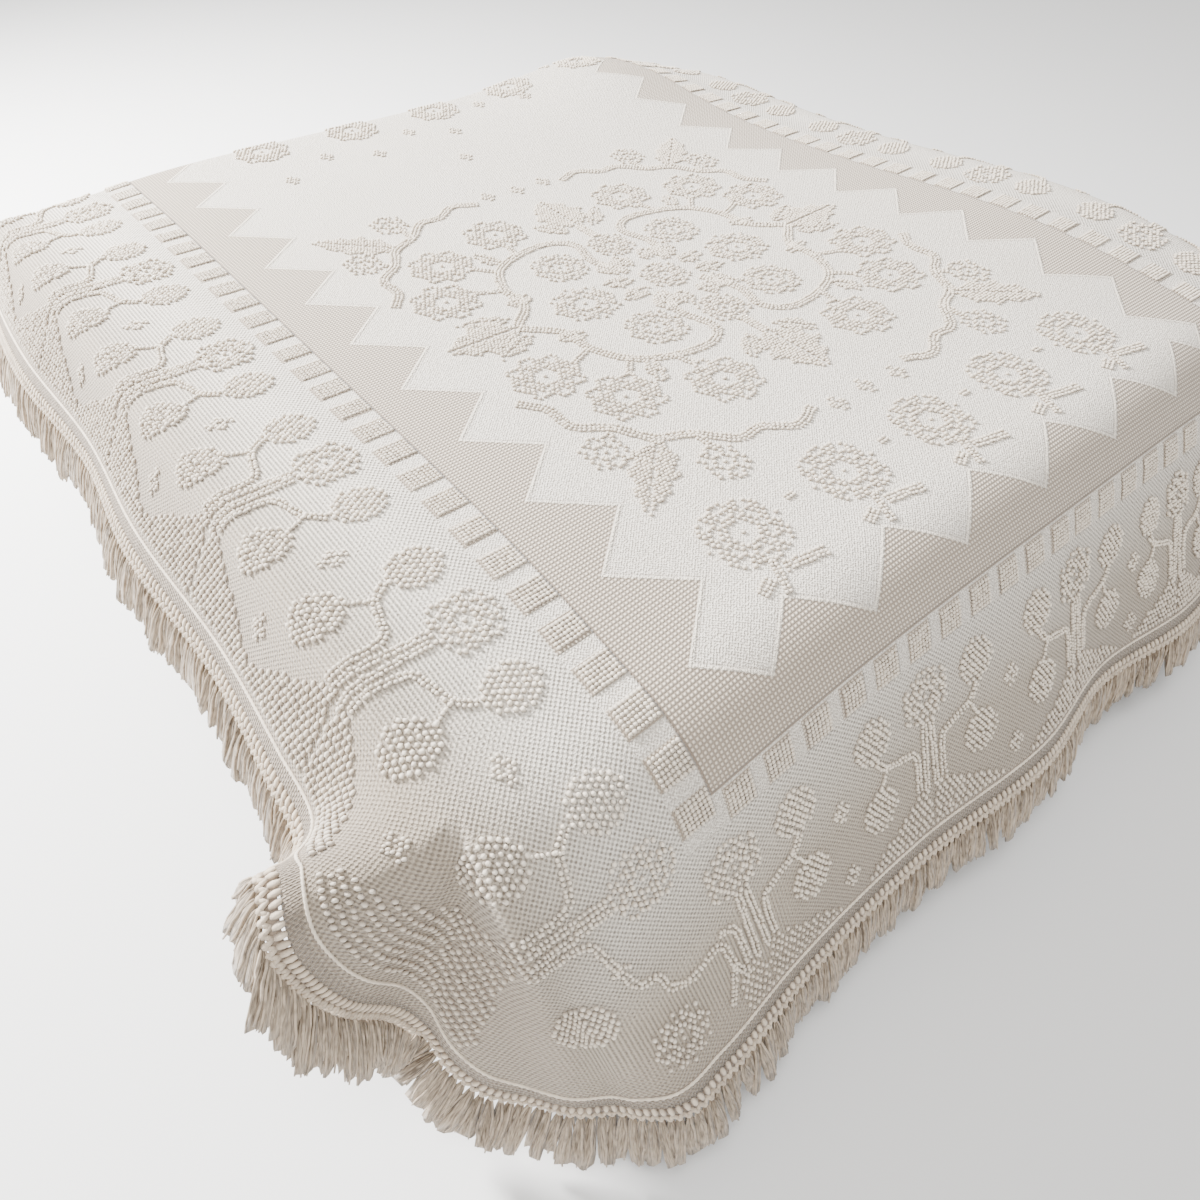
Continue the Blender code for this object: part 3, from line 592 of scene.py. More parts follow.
def rosette(u, v, size):
    """Tufts of a round flower.

    A place at radius r and angle t is filled in the scalloped ring 0.59 to 0.95 + 0.05 cos 8t less
    a hole in each petal, in the ring 0.30 to 0.50, and in the heart below 0.13.
    """
    x, y = lattice(-size, size, -size, size)
    r = np.hypot(x, y) / size
    t = np.arctan2(y, x)
    ring = (r > 0.59) & (r < 0.95 + 0.05 * np.cos(8 * t))
    hole = (np.abs(r - 0.80) < 0.085) & (np.cos(8 * t) > 0.40)
    keep = (ring & ~hole) | ((r > 0.30) & (r < 0.50)) | (r < 0.13)
    return marks(x[keep] + u, y[keep] + v, *ROSETTE_TUFT)


def disc(u, v, half_u, half_v):
    """Tufts that fill an oval, in staggered rows."""
    x, y = lattice(-half_u, half_u, -half_v, half_v, *DISC_ROWS)
    keep = (x / half_u) ** 2 + (y / half_v) ** 2 <= 1.04
    return marks(x[keep] + u, y[keep] + v, *DISC_TUFT)


def sprig(u, v):
    """Four small petals, of four or five tufts each, about a bare middle."""
    x, y = lattice(-0.019, 0.019, -0.019, 0.019, *SPRIG_ROWS)
    r = np.hypot(x, y)
    t = np.arctan2(y, x)
    keep = (r > 0.004) & (r < 0.017 * np.abs(np.cos(2 * t)) + 0.004)
    return marks(x[keep] + u, y[keep] + v, *SPRIG_TUFT)


def leaf(x0, y0, x1, y1, wide):
    """Small tufts of a pointed leaf from its stem to its tip.

    Its half width is wide times sin(pi s^0.8), s from 0 at the stem to 1 at the tip, with a bare
    vein, and its edge is notched.
    """
    way = np.array([x1 - x0, y1 - y0])
    size = np.hypot(*way)
    way /= size
    x, y = lattice(min(x0, x1) - wide, max(x0, x1) + wide, min(y0, y1) - wide, max(y0, y1) + wide,
                   *LEAF_ROWS)
    s = ((x - x0) * way[0] + (y - y0) * way[1]) / size
    side = np.abs((y - y0) * way[0] - (x - x0) * way[1])
    half = wide * np.sin(math.pi * np.clip(s, 0, 1) ** 0.8) * (0.9 + 0.14 * np.cos(s * 26))
    keep = (s > 0) & (s < 1) & (side < half) & (side > 0.0022)
    return marks(x[keep], y[keep], *LEAF_TUFT)


def stem(points, rows):
    """Rows of small tufts side by side along a smooth line."""
    path = smooth_path(points, BEAD)
    way = unit(np.gradient(path, axis=0))
    side = np.stack([-way[:, 1], way[:, 0]], -1)
    shifts = BEAD * (np.arange(rows) - (rows - 1) / 2)
    return np.concatenate([marks(*(path + side * shift).T, *STEM_TUFT) for shift in shifts])


def medallion_marks():
    """Middle motif: a quarter of flowers, leaves and stems, mirrored across both axes."""
    found = []
    for sign in ((1, 1), (-1, 1), (1, -1), (-1, -1)):

        def placed(*points):
            """Points of the quarter on this one's side of the middle."""
            return (np.array(points) * sign + MEDALLION_AT).ravel()

        def mine(x, y):
            """Whether a motif belongs here: one on an axis is set down only once."""
            return (x > 0 or sign[0] > 0) and (y > 0 or sign[1] > 0)

        found += [rosette(*placed((x, y)), size) for x, y, size in FLOWERS if mine(x, y)]
        found += [leaf(*placed((x, y), tip), wide) for x, y, tip, wide in LEAVES if mine(x, y)]
        found += [stem(placed(*points).reshape(-1, 2), rows) for rows, points in VINES]
        found += [sprig(*placed((x, y))) for x, y in SPRIGS if mine(x, 1)]
    return np.concatenate(found)


def field_marks():
    """Flowers with stems in a row at the foot, flowers in a row at the head, and loose sprigs."""
    found = [rosette(*row) for row in FIELD_FLOWERS + HEAD_FLOWERS]
    found += [sprig(*row) for row in HEAD_SPRIGS]
    for u, v, _ in FIELD_FLOWERS:
        found += [stem(((u - 0.006, v - 0.058), (u - 0.028, FOOT_TIP + 0.003)), 2),
                  stem(((u - 0.058, v - 0.096), (u - 0.034, v - 0.086)), 3),
                  stem(((u, v - 0.082), (u + 0.062, v - 0.096)), 3)]
    for u, v, _ in FIELD_FLOWERS[:-1]:
        found.append(stem(((u + 0.100, v + 0.012), (u + 0.112, v + 0.012)), 2))
    return np.concatenate(found)


def tree_marks(place, spread, limit, to_cloth, scale, long=0.0056):
    """One tree of a drop, in its own place along the border and distance out from it.

    to_cloth turns those two into flat cloth coordinates, scale shortens the way out on the foot, and
    long is the half length of the tufts in the dense wedge below it, where out is more than 0.249 +
    0.613 |along|, less a slit at its top.
    """
    found = [rosette(0.0, 0.074, 0.052)]
    for side in (-1, 1):
        found += [disc(side * DISC_ASIDE, out, 0.037, 0.042) for out in DISC_OUT]
        for rows, line in TREE_STEMS:
            found.append(stem(np.array(line) * (side, 1), rows))
    found += [sprig(0.1875, 0.159), sprig(0.1875, 0.304)]
    x, y = lattice(-0.19, 0.19, 0.25, limit, *WEDGE_ROWS)
    aside = np.abs(x)
    keep = (y > 0.249 + 0.613 * aside) & (aside <= TREE_SPREAD / 2) & (limit - y > 0.008)
    keep &= aside > 0.010 * (y < 0.285)
    found.append(marks(x[keep], y[keep], 0.0038, long, 0.0050))
    rows = np.concatenate(found)
    k = spread / TREE_SPREAD
    rows[:, :2] = to_cloth(place + rows[:, 0] * k, rows[:, 1] * scale)
    return rows


def mirrored(rows):
    """The same tufts on the other long side."""
    other = rows.copy()
    other[:, 0] = 2 * CENTRE_U - other[:, 0]
    return other


def on_left(along, out):
    """Flat place of a point along the left border and out from it."""
    return np.stack([LEFT_START - out, along], -1)


def on_foot(along, out):
    """Flat place of a point along the foot border and out from it."""
    return np.stack([along, FOOT_START - out], -1)


def side_marks():
    """Trees of the left drop."""
    rows = np.concatenate([tree_marks(at, TREE_SPREAD, SIDE_LIMIT, on_left, 1.0) for at in SIDE_TREES])
    rows[:, [2, 3]] = rows[:, [3, 2]]
    return rows[(rows[:, 1] < SIDE_HEAD) & (rows[:, 1] > CORNER_FROM)]


def block_marks():
    """Loops of the raised blocks, in straight rows: the left band, then the foot band."""
    edge = 0.002
    found = []
    for low_u, high_u, low_v, high_v, along, middle, pitch, long in (
            (CENTRE_U - BAND_OUT, CENTRE_U - BAND_IN, BAND_FOOT, BAND_HEAD, 1, BLOCK_MIDDLE,
             BLOCK_PITCH, BLOCK_LONG),
            (CENTRE_U - BAND_IN, CENTRE_U + BAND_IN, FOOT_OUT, FOOT_IN, 0, FOOT_MIDDLE, FOOT_PITCH,
             FOOT_LONG)):
        x, y = lattice(low_u, high_u, low_v, high_v, *BLOCK_ROWS)
        x = x - (np.round(y / BLOCK_ROWS[1]) % 2) * BLOCK_ROWS[0] / 2
        off = np.abs(np.mod((x, y)[along] - middle + pitch / 2, pitch) - pitch / 2)
        over, low, high = (x, low_u, high_u) if along else (y, low_v, high_v)
        keep = (off < long / 2 - edge) & (over > low + edge) & (over < high - edge)
        found.append(marks(x[keep], y[keep], *BLOCK_LOOP))
    return found


def foot_marks():
    """Trees of the foot drop."""
    return np.concatenate([tree_marks(at, spread, FOOT_LIMIT, on_foot, FOOT_SQUEEZE)
                           for at, spread in FOOT_TREES])


def corner_marks():
    """The near foot corner: the two borders' last trees, joined by a winding stem.

    Each tree keeps only its own side of the corner and leaves room for the stem and the disc. The
    left one has no round leaves towards the foot.
    """
    side = tree_marks(CORNER_TREE, TREE_SPREAD, SIDE_LIMIT, on_left, 1.0, CORNER_LONG)
    side[:, [2, 3]] = side[:, [3, 2]]
    for out in DISC_OUT:
        off = side[:, :2] - (LEFT_START - out, CORNER_TREE - DISC_ASIDE)
        side = side[np.hypot(*off.T) > 0.046]
    side = side[(side[:, 1] > -1.128) | (side[:, 0] < -0.962)]
    foot = tree_marks(CORNER_FOOT_TREE, 0.390, FOOT_LIMIT, on_foot, FOOT_SQUEEZE, CORNER_LONG)
    foot = foot[(foot[:, 0] > -0.722) & ((foot[:, 0] > -0.80) | (foot[:, 1] < -1.27))]
    rows = np.concatenate([side, foot])
    middle = (-FLAT_X - CORD["left"] + CORNER_ROUND, FLAT_FOOT - CORD["foot"] + CORNER_ROUND)
    far = np.linalg.norm(np.minimum(rows[:, :2] - middle, 0), axis=1)
    rows = rows[(far < CORNER_ROUND - 0.010) & (rows[:, 1] < CORNER_FROM)]
    for u, v, half_u, half_v in CORNER_DISCS:
        rows = rows[np.hypot((rows[:, 0] - u) / half_u, (rows[:, 1] - v) / half_v) > 1.12]
    found = [rows]
    found += [rosette(*row) for row in CORNER_FLOWERS]
    found += [disc(*row) for row in CORNER_DISCS]
    found += [sprig(*row) for row in CORNER_SPRIGS]
    found += [stem(line, 2) for line in CORNER_VINES]
    return np.concatenate(found)


# ---------------------------------------------------------------- materials
# a noise's scale is how many of its grains lie along a metre: 420 puts them 2.4 mm apart. Threads
# and yarn are all coarser here than real ones, so that they show.


def feed(tree, socket, value):
    """Give an input a value, or a link from a socket or from the first output in use of a node."""
    if isinstance(value, bpy.types.Node):
        value = next(s for s in value.outputs if s.enabled)
    if isinstance(value, bpy.types.NodeSocket):
        tree.links.new(value, socket)
    else:
        socket.default_value = (*value, 1.0) if socket.type == "RGBA" else value


def add(tree, kind, *values, **settings):
    """Add a node: kind is a math operation in capitals, or the end of its type's name.

    The values feed its inputs in order. A setting in lower case is the node's own, and one with a
    capital letter feeds the input of that name.
    """
    node = tree.nodes.new("ShaderNodeMath" if kind.isupper() else "ShaderNode" + kind)
    if kind.isupper():
        node.operation = kind
    own = {name: value for name, value in settings.items() if name.islower()}
    for name, value in own.items():
        setattr(node, name, value)
    for socket, value in zip([s for s in node.inputs if s.enabled], values):
        feed(tree, socket, value)
    for name in settings.keys() - own.keys():
        feed(tree, node.inputs[name], settings[name])
    return node


def matt_material(name, roughness, sheen):
    """Rough material with a soft sheen, and an index of refraction near that of fibres and paint."""
    material = bpy.data.materials.new(name)
    material.use_nodes = True
    shader = material.node_tree.nodes["Principled BSDF"]
    values = {"Roughness": roughness, "Metallic": 0.0, "IOR": 1.53, "Specular IOR Level": 0.25,
              "Sheen Weight": sheen, "Sheen Roughness": 0.5}
    for socket, value in values.items():
        shader.inputs[socket].default_value = value
    return material, material.node_tree


def finished(material, colour, height, distance=1.0):
    """The material with a colour and a bump of the given height, scaled by a distance (m)."""
    tree = material.node_tree
    shader = tree.nodes["Principled BSDF"]
    feed(tree, shader.inputs["Base Color"], colour)
    bump = add(tree, "Bump", Strength=1.0, Distance=distance, Height=height)
    feed(tree, shader.inputs["Normal"], bump)
    return material


def woven_cotton_ground(look):
    """Cotton ground woven on a jacquard loom, loops drawn up in its border and its checked bands.

    The weave gives fine matt grains, the loops stand a few millimetres proud in even rows, and the
    bare field between them is smoother and lighter.
    """
    material, t = matt_material("woven_cotton_ground", 0.92, 0.25)
    flat = add(t, "UVMap", uv_map="flat_cloth")
    u, v = add(t, "SeparateXYZ", flat).outputs[:2]

    def from_line(place, line):
        """Distance of a place from a line, on either side."""
        return add(t, "ABSOLUTE", add(t, "SUBTRACT", place, line))

    def from_marks(place, first, pitch):
        """Distance of a place from the nearest of evenly spaced marks."""
        return add(t, "PINGPONG", add(t, "SUBTRACT", place, first), pitch / 2)

    def wave(place, length):
        """Cosine of a place, once every length."""
        return add(t, "COSINE", add(t, "MULTIPLY", place, 2 * math.pi / length))

    def crossed(size):
        """Waves across and along the cloth, multiplied."""
        return add(t, "MULTIPLY", wave(u, size), wave(v, size))

    across = from_line(u, CENTRE_U)

    # field: inside both rows of teeth, side and foot
    rise = (TOOTH_VALLEY - TOOTH_TIP) / (TOOTH_LONG / 2)
    edge = add(t, "MULTIPLY_ADD", from_marks(v, TOOTH_AT, TOOTH_LONG), rise, across)
    side_in = add(t, "MULTIPLY", add(t, "SUBTRACT", TOOTH_VALLEY, edge), 1 / math.hypot(1, rise))
    rise = (FOOT_TIP - FOOT_VALLEY) / (FOOT_TOOTH / 2)
    edge = add(t, "MULTIPLY_ADD", from_marks(u, FOOT_TOOTH_AT, FOOT_TOOTH), rise, FOOT_VALLEY)
    foot_in = add(t, "MULTIPLY", add(t, "SUBTRACT", v, edge), 1 / math.hypot(1, rise))
    inward = add(t, "MINIMUM", side_in, foot_in)
    # a raised line runs 2.4 mm inside the teeth, with painted shade on either side of it
    field = add(t, "MapRange", inward, -0.0010, 0.0010, interpolation_type="SMOOTHSTEP")
    line = from_line(inward, 0.0024)
    ridge = add(t, "MapRange", line, 0.0, 0.0040, 1.0, 0.0, interpolation_type="SMOOTHSTEP")
    shade_beside = add(t, "MapRange", line, 0.0036, 0.0064, 0.45, 0.0)
    shade_beside = add(t, "MULTIPLY", add(t, "MapRange", line, 0.0026, 0.0038), shade_beside)

    # border between the teeth and the checked bands, with a seam 1.4 mm inside its outer edge
    to_band = add(t, "SUBTRACT", BAND_IN, across)
    within = add(t, "MINIMUM", to_band, add(t, "SUBTRACT", v, BORDER_FOOT))
    seam = add(t, "MapRange", from_line(within, 0.0014), 0.0008, 0.0030, 0.75, 0.0)
    border = add(t, "MapRange", within, -0.0012, 0.0012, interpolation_type="SMOOTHSTEP")
    border = add(t, "MULTIPLY", border, add(t, "SUBTRACT", 1.0, field))

    # raised blocks of the checked bands
    in_band = add(t, "SUBTRACT", (BAND_OUT - BAND_IN) / 2, from_line(across, (BAND_OUT + BAND_IN) / 2))
    in_block = add(t, "SUBTRACT", BLOCK_LONG / 2, from_marks(v, BLOCK_MIDDLE, BLOCK_PITCH))
    side_block = add(t, "MINIMUM", add(t, "MINIMUM", in_band, in_block),
                     add(t, "SUBTRACT", v, BAND_FOOT))
    in_band = add(t, "SUBTRACT", (FOOT_IN - FOOT_OUT) / 2, from_line(v, (FOOT_IN + FOOT_OUT) / 2))
    in_block = add(t, "SUBTRACT", FOOT_LONG / 2, from_marks(u, FOOT_MIDDLE, FOOT_PITCH))
    foot_block = add(t, "MINIMUM", add(t, "MINIMUM", in_band, in_block), to_band)
    block = add(t, "MAXIMUM", side_block, foot_block)
    block = add(t, "MapRange", block, -0.0012, 0.0012, interpolation_type="SMOOTHSTEP")
    looped = add(t, "MAXIMUM", border, block)

    # even rows of loops, and the finer grain of the ground
    nub = [add(t, "MULTIPLY_ADD", wave(place, NUB), 0.5, 0.5) for place in (u, v)]
    nub = add(t, "POWER", add(t, "MULTIPLY", *nub), 0.7)
    grain = add(t, "MULTIPLY_ADD", crossed(GRAIN), 0.5, 0.5)
    thread = add(t, "TexNoise", Vector=flat, Scale=420.0, Detail=2.0)
    pebble = add(t, "TexNoise", Vector=flat, Scale=300.0, Detail=1.0)
    pebble = add(t, "MapRange", pebble, 0.36, 0.60)
    grain = add(t, "MapRange", add(t, "Mix", 0.50, grain, pebble), 0.15, 0.80)

    # outside the checked bands the ground is coarser, and part of each drop is ribbed lengthways:
    # on the foot drop, only low down by its corners
    drop_side = add(t, "SUBTRACT", across, BAND_OUT)
    drop_foot = add(t, "SUBTRACT", FOOT_OUT, v)
    dropped = add(t, "MAXIMUM", drop_side, drop_foot)
    outer = add(t, "MapRange", dropped, -0.001, 0.001)
    ribbed = add(t, "MapRange", from_line(dropped, RIBBED_MIDDLE), RIBBED_HALF - 0.100, RIBBED_HALF,
                 0.85, 0.0)
    low_foot = add(t, "MULTIPLY", add(t, "MapRange", v, -1.17, -1.23),
                   add(t, "MapRange", across, 0.62, 0.70))
    where_ribs = add(t, "MAXIMUM", add(t, "MapRange", v, -0.84, -0.74), low_foot)
    ribbed = add(t, "MULTIPLY", ribbed, where_ribs)
    ridge_u = add(t, "ADD", add(t, "MULTIPLY", grain, 0.35),
                  add(t, "MULTIPLY_ADD", wave(u, RIB), 0.5, 0.5))
    knob = add(t, "MapRange", add(t, "MULTIPLY_ADD", crossed(KNOB), 0.5, 0.5), 0.16, 0.66)
    grain = add(t, "Mix", outer, grain, add(t, "Mix", 0.30, knob, pebble))
    grain = add(t, "Mix", ribbed, grain, ridge_u)

    # hem below the corded line: fine ribs across it
    beyond, along = (add(t, "Attribute", attribute_name=name).outputs["Fac"]
                     for name in ("beyond", "along"))
    hem = add(t, "MapRange", beyond, 0.000, 0.001)
    ribs = add(t, "ADD", wave(along, HEM_RIB), add(t, "MULTIPLY", wave(beyond, HEM_WEFT), 0.4))

    # height: each layer's share times its own height in millimetres
    coarse = add(t, "MULTIPLY_ADD", outer, 0.05, 1.15)
    plain = add(t, "MULTIPLY", add(t, "SUBTRACT", 1.0, looped), coarse)
    beaded = add(t, "MULTIPLY", ridge, add(t, "MULTIPLY_ADD", nub, 0.5, 0.5))
    height = add(t, "MULTIPLY", block, 2.6 * MM)
    for share, tall in ((seam, -1.6), (add(t, "MULTIPLY", looped, nub), 2.4),
                        (add(t, "MULTIPLY", plain, grain), 1.7), (thread, 0.30), (beaded, 3.0),
                        (add(t, "MULTIPLY", ribs, hem), 0.8)):
        height = add(t, "MULTIPLY_ADD", share, tall * MM, height)

    # colour: slow change from washing, then layers from the ground up to the hem's slits, with a
    # row of stitches 4.2 mm above the corded line. Most layers are painted shade: on the drops, lower
    # on them, in the weave's low spots, between the loops, beside the raised line, in the seam and in
    # the hem's slits
    # painted shade: the drops are painted darker than the flat top, from a little past the bands
    shaded = add(t, "MAXIMUM", drop_side, add(t, "ADD", drop_foot, 0.09))
    painted_drop_shade = add(t, "MapRange", shaded, 0.08, 0.26, 0.0, 0.95)
    # painted shade: low down on the drops the ground is darkened further, towards the groove shade
    low = add(t, "MapRange", dropped, 0.16, 0.31, 0.0, 0.30)
    # painted shade in the low spots of the weave, stronger on the drops
    grooved = add(t, "MULTIPLY", add(t, "SUBTRACT", 1.0, grain),
                  add(t, "MULTIPLY_ADD", outer, 0.28, 0.57))
    gaps = add(t, "Mix", outer, look.groove_shade, look.gap, data_type="RGBA")
    # painted shade in the valleys between the loops of the border and the blocks
    deep = add(t, "MapRange", nub, 0.15, 0.75, 0.85, 0.0)
    loops = add(t, "Mix", deep, look.loops, look.groove_shade, data_type="RGBA")
    # the seam is a real groove, darkened further with painted shade; the lines beside the raised line are
    # painted shade alone
    lines = add(t, "MAXIMUM", seam, shade_beside)
    stitched = add(t, "ABSOLUTE", add(t, "ADD", beyond, 0.0042))
    stitched = add(t, "MapRange", stitched, 0.0006, 0.0022, 0.65, 0.0)
    # painted shade in the slits between the hem's ribs
    slit = add(t, "MULTIPLY", add(t, "MapRange", ribs, -1.3, 0.4, 0.75, 0.12), hem)
    cloud = add(t, "TexNoise", Vector=flat, Scale=2.2, Detail=3.0)
    colour = look.ground
    for share, over in ((cloud, look.shade), (painted_drop_shade, look.drop), (low, look.groove_shade), (grooved, gaps),
                        (looped, loops), (ridge, look.tuft), (lines, look.groove_shade),
                        (stitched, look.groove_shade), (slit, look.groove_shade)):
        colour = add(t, "Mix", share, colour, over, data_type="RGBA")
    return finished(material, colour, height)


def cotton_pile(look):
    """Cotton yarn drawn up into soft cut loops: matt and full, darker down between its tufts: painted
    shade low on each tuft under a lighter top, and duller patches at random.
    """
    material, t = matt_material("cotton_pile_tufts", 0.95, 0.35)
    rise = add(t, "Attribute", attribute_name="rise").outputs["Fac"]
    where = add(t, "TexCoord").outputs["Object"]
    # painted shade: a tuft runs from the groove shade at its foot to its own light colour at its top
    colour = add(t, "Mix", add(t, "MapRange", rise, 0.10, 0.85), look.groove_shade, look.tuft,
                 data_type="RGBA")
    dimming = add(t, "MapRange", add(t, "TexNoise", Vector=where, Scale=55.0), 0.45, 0.75, 0.0, 0.35)
    colour = add(t, "Mix", dimming, colour, look.loops, data_type="RGBA")
    yarn = add(t, "TexNoise", Vector=where, Scale=620.0, Detail=2.0)
    return finished(material, colour, yarn, 0.6 * MM)


def cotton_yarn(name, light, dark):
    """Soft spun cotton yarn, plied into cords: matt strands, with painted shade where cords meet."""
    material, t = matt_material(name, 0.93, 0.3)
    rise = add(t, "Attribute", attribute_name="rise").outputs["Fac"]
    where = add(t, "TexCoord").outputs["Object"]
    tone = add(t, "SUBTRACT", add(t, "TexNoise", Vector=where, Scale=70.0, Detail=2.0), 0.5)
    tone = add(t, "MULTIPLY_ADD", tone, 0.9, rise, use_clamp=True)
    fibre = add(t, "TexNoise", Vector=where, Scale=480.0, Detail=3.0)
    return finished(material, add(t, "Mix", tone, dark, light, data_type="RGBA"), fibre, 0.6 * MM)


def loose_cotton_yarn(look):
    """Soft spun cotton yarn cut in bunches: matt strands about 1.5 mm wide, with painted shade between
    them and deep in the tassels.
    """
    material, t = matt_material("loose_cotton_yarn", 0.93, 0.3)
    rise = add(t, "Attribute", attribute_name="rise").outputs["Fac"]
    drawn = add(t, "Mapping", add(t, "UVMap", uv_map="lie_of_yarn"), Scale=(1.0, 0.08, 1.0))
    strand = add(t, "TexNoise", Vector=drawn, Scale=640.0, Detail=2.0)
    tone = add(t, "MULTIPLY_ADD", add(t, "SUBTRACT", strand, 0.5), 2.4, rise, use_clamp=True)
    colour = add(t, "Mix", tone, look.fringe_shade, look.fringe, data_type="RGBA")
    return finished(material, colour, strand, 1.6 * MM)


def woven_ticking(look):
    """Cotton ticking quilted on a mattress: herringbone twill over soft rows of quilting."""
    material, t = matt_material("woven_cotton_ticking", 0.85, 0.15)
    x, y, z = add(t, "SeparateXYZ", add(t, "TexCoord").outputs["Object"]).outputs
    run = add(t, "ADD", x, y)
    threads, quilted = (2 * math.pi / size for size in (TWILL, QUILT))
    twill = add(t, "SINE", add(t, "MULTIPLY_ADD", add(t, "PINGPONG", run, TWILL_TURN), threads,
                               add(t, "MULTIPLY", z, threads)))
    over, up = (add(t, "MULTIPLY", place, quilted) for place in (run, z))
    puff = add(t, "MINIMUM", *(add(t, "ABSOLUTE", add(t, "SINE", add(t, way, over, up)))
                               for way in ("ADD", "SUBTRACT")))
    height = add(t, "MULTIPLY", add(t, "POWER", puff, 0.5), 3.5 * MM)
    height = add(t, "MULTIPLY_ADD", twill, 0.12 * MM, height)
    tone = add(t, "MapRange", twill, -1.0, 1.0, 0.0, 1.0)
    colour = add(t, "Mix", tone, look.ticking_dark, look.ticking, data_type="RGBA")
    return finished(material, colour, height)


def woven_upholstery(look):
    """Linen-look polyester upholstery, plain woven: slubby crossed threads 2.2 mm apart."""
    material, t = matt_material("woven_upholstery_cloth", 0.9, 0.2)
    where = add(t, "TexCoord").outputs["Object"]
    x, y, z = add(t, "SeparateXYZ", where).outputs
    weave = add(t, "MULTIPLY", *(add(t, "SINE", add(t, "MULTIPLY", place, 2 * math.pi / SLUB_THREAD))
                                 for place in (add(t, "ADD", x, y), z)))
    drawn = add(t, "Mapping", where, Scale=(30.0, 30.0, 420.0))
    slub = add(t, "TexNoise", Vector=drawn, Scale=1.0, Detail=3.0)
    height = add(t, "MULTIPLY_ADD", slub, 0.5 * MM, add(t, "MULTIPLY", weave, 0.16 * MM))
    colour = add(t, "Mix", slub, look.base_dark, look.base, data_type="RGBA")
    return finished(material, colour, height)


def painted_floor(look):
    """Pale painted floor, rolled: nearly flat and matt."""
    material, t = matt_material("painted_floor", 0.8, 0.0)
    feed(t, t.nodes["Principled BSDF"].inputs["Base Color"], look.floor)
    return material


# ---------------------------------------------------------------- settings
def colour_setting(name, note, code):
    """Colour property with its default from a hex code."""
    return FloatVectorProperty(name=name, description=note, subtype="COLOR", size=3, min=0, max=1,
                               default=to_linear(code))


def length_setting(name, note, default, low, high):
    """Length property with its limits."""
    return FloatProperty(name=name, description=note, default=default, min=low, max=high,
                         unit="LENGTH")


class BedspreadSettings(bpy.types.PropertyGroup):
    """Sizes and colours of the bedspread."""
    pile_height: length_setting("Pile height", "Height of the tufts over the cloth", PILE_HEIGHT,
                                0.001, 0.01)
    cell: length_setting("Cloth cell", "Size of the cloth's mesh cells", 0.018, 0.01, 0.05)
    drop_rows: IntProperty(name="Drop rows", description="Rows of cells down the drop",
                           default=36, min=8, max=60)
    tassel_pitch: length_setting("Tassel spacing", "Distance between tassels", TASSEL_PITCH, 0.008,
                                 0.06)
    tassel_length: length_setting("Tassel length", "Length of a tassel", 0.086, 0.03, 0.12)
    strands: IntProperty(name="Strands", description="Loose strands round a tassel",
                         default=4, min=3, max=16)
    loop_pitch: length_setting("Loop spacing", "Distance between the barrel loops", 0.0112, 0.004,
                               0.02)
    ground: colour_setting("Ground", "Smooth woven ground", "#F8F1E5")
    shade: colour_setting("Ground shade", "Ground where it is a little yellowed", "#F0E6D5")
    # painted shade: the drops' ground colour stands for the shade they hang in
    drop: colour_setting("Ground of the drops", "Coarser ground near the hem", "#C1B39F")
    loops: colour_setting("Loops", "Loops of the border", "#EADCC7")
    # painted shade: colours of the low places between the loops and in the weave
    groove_shade: colour_setting("Groove", "Ground between loops", "#867667")
    gap: colour_setting("Gap", "Gaps in the coarser ground of the drops", "#5C4F41")
    tuft: colour_setting("Tufts", "Tufts of the pattern", "#F4E8D5")
    heading: colour_setting("Heading", "Loops and knots over the tassels", "#DFCEB7")
    fringe: colour_setting("Fringe", "Yarn of the tassels", "#BFAD97")
    # painted shade: colour of the yarn where the tassels are in shade
    fringe_shade: colour_setting("Fringe shade", "Yarn deep in the tassels", "#584A3A")
    ticking: colour_setting("Ticking", "Mattress cloth", "#B3ADA1")
    ticking_dark: colour_setting("Ticking shade", "Weft of the mattress cloth", "#8C8578")
    base: colour_setting("Base", "Upholstery of the base", "#7E766B")
    base_dark: colour_setting("Base shade", "Thick threads of the upholstery", "#5A5349")
    floor: colour_setting("Floor", "Floor", "#F4F3F1")


# ---------------------------------------------------------------- pieces
def column_places(look):
    """Distances along the corded line of the sheet's columns, closer together at the corners."""
    places = []
    for first, side in PAIRS:
        start, run, length = SIDE_START[side["side"]], corner_run(first, side), side_run(side["side"])
        n = max(6, round(run / look.cell * 1.35))
        places += [start - run + run * np.arange(1, n) / n,
                   start + np.linspace(0, length, round(length / look.cell) + 1)]
    return np.concatenate(places)


def flat_grid(cell):
    """Even places across and along the flat of the bed, and the grid of its points."""
    xs = np.linspace(-FLAT_X, FLAT_X, round(side_run("foot") / cell) + 1)
    ys = np.linspace(FLAT_FOOT, FLAT_HEAD, round(side_run("left") / cell) + 1)
    return xs, ys, np.stack(np.meshgrid(xs, ys), -1).reshape(-1, 2)


def skirt(count, rows, start, xs, ys):
    """Triangles between neighbouring columns all round, each hanging from a rim point of the grid."""
    i = np.abs(xs[None] - start[:, :1]).argmin(1)
    j = np.abs(ys[None] - start[:, 1:]).argmin(1)
    index = len(xs) * len(ys) + np.arange(count)[:, None] * rows + np.arange(rows)[None]
    here = np.concatenate([(j * len(xs) + i)[:, None], index], 1)
    there = np.roll(here, -1, axis=0)
    a, b, c, d = here[:, :-1], here[:, 1:], there[:, 1:], there[:, :-1]
    lower = np.stack([a, b, c], -1).reshape(-1, 3)
    upper = np.stack([a, c, d], -1)[a != d].reshape(-1, 3)
    return np.concatenate([lower, upper])


def grid_triangles(nx, ny):
    """Two triangles a cell for a grid of points, row by row."""
    k = (np.arange(ny - 1)[:, None] * nx + np.arange(nx - 1)[None]).ravel()
    return np.concatenate([np.stack([k, k + 1, k + nx + 1], -1), np.stack([k, k + nx + 1, k + nx], -1)])


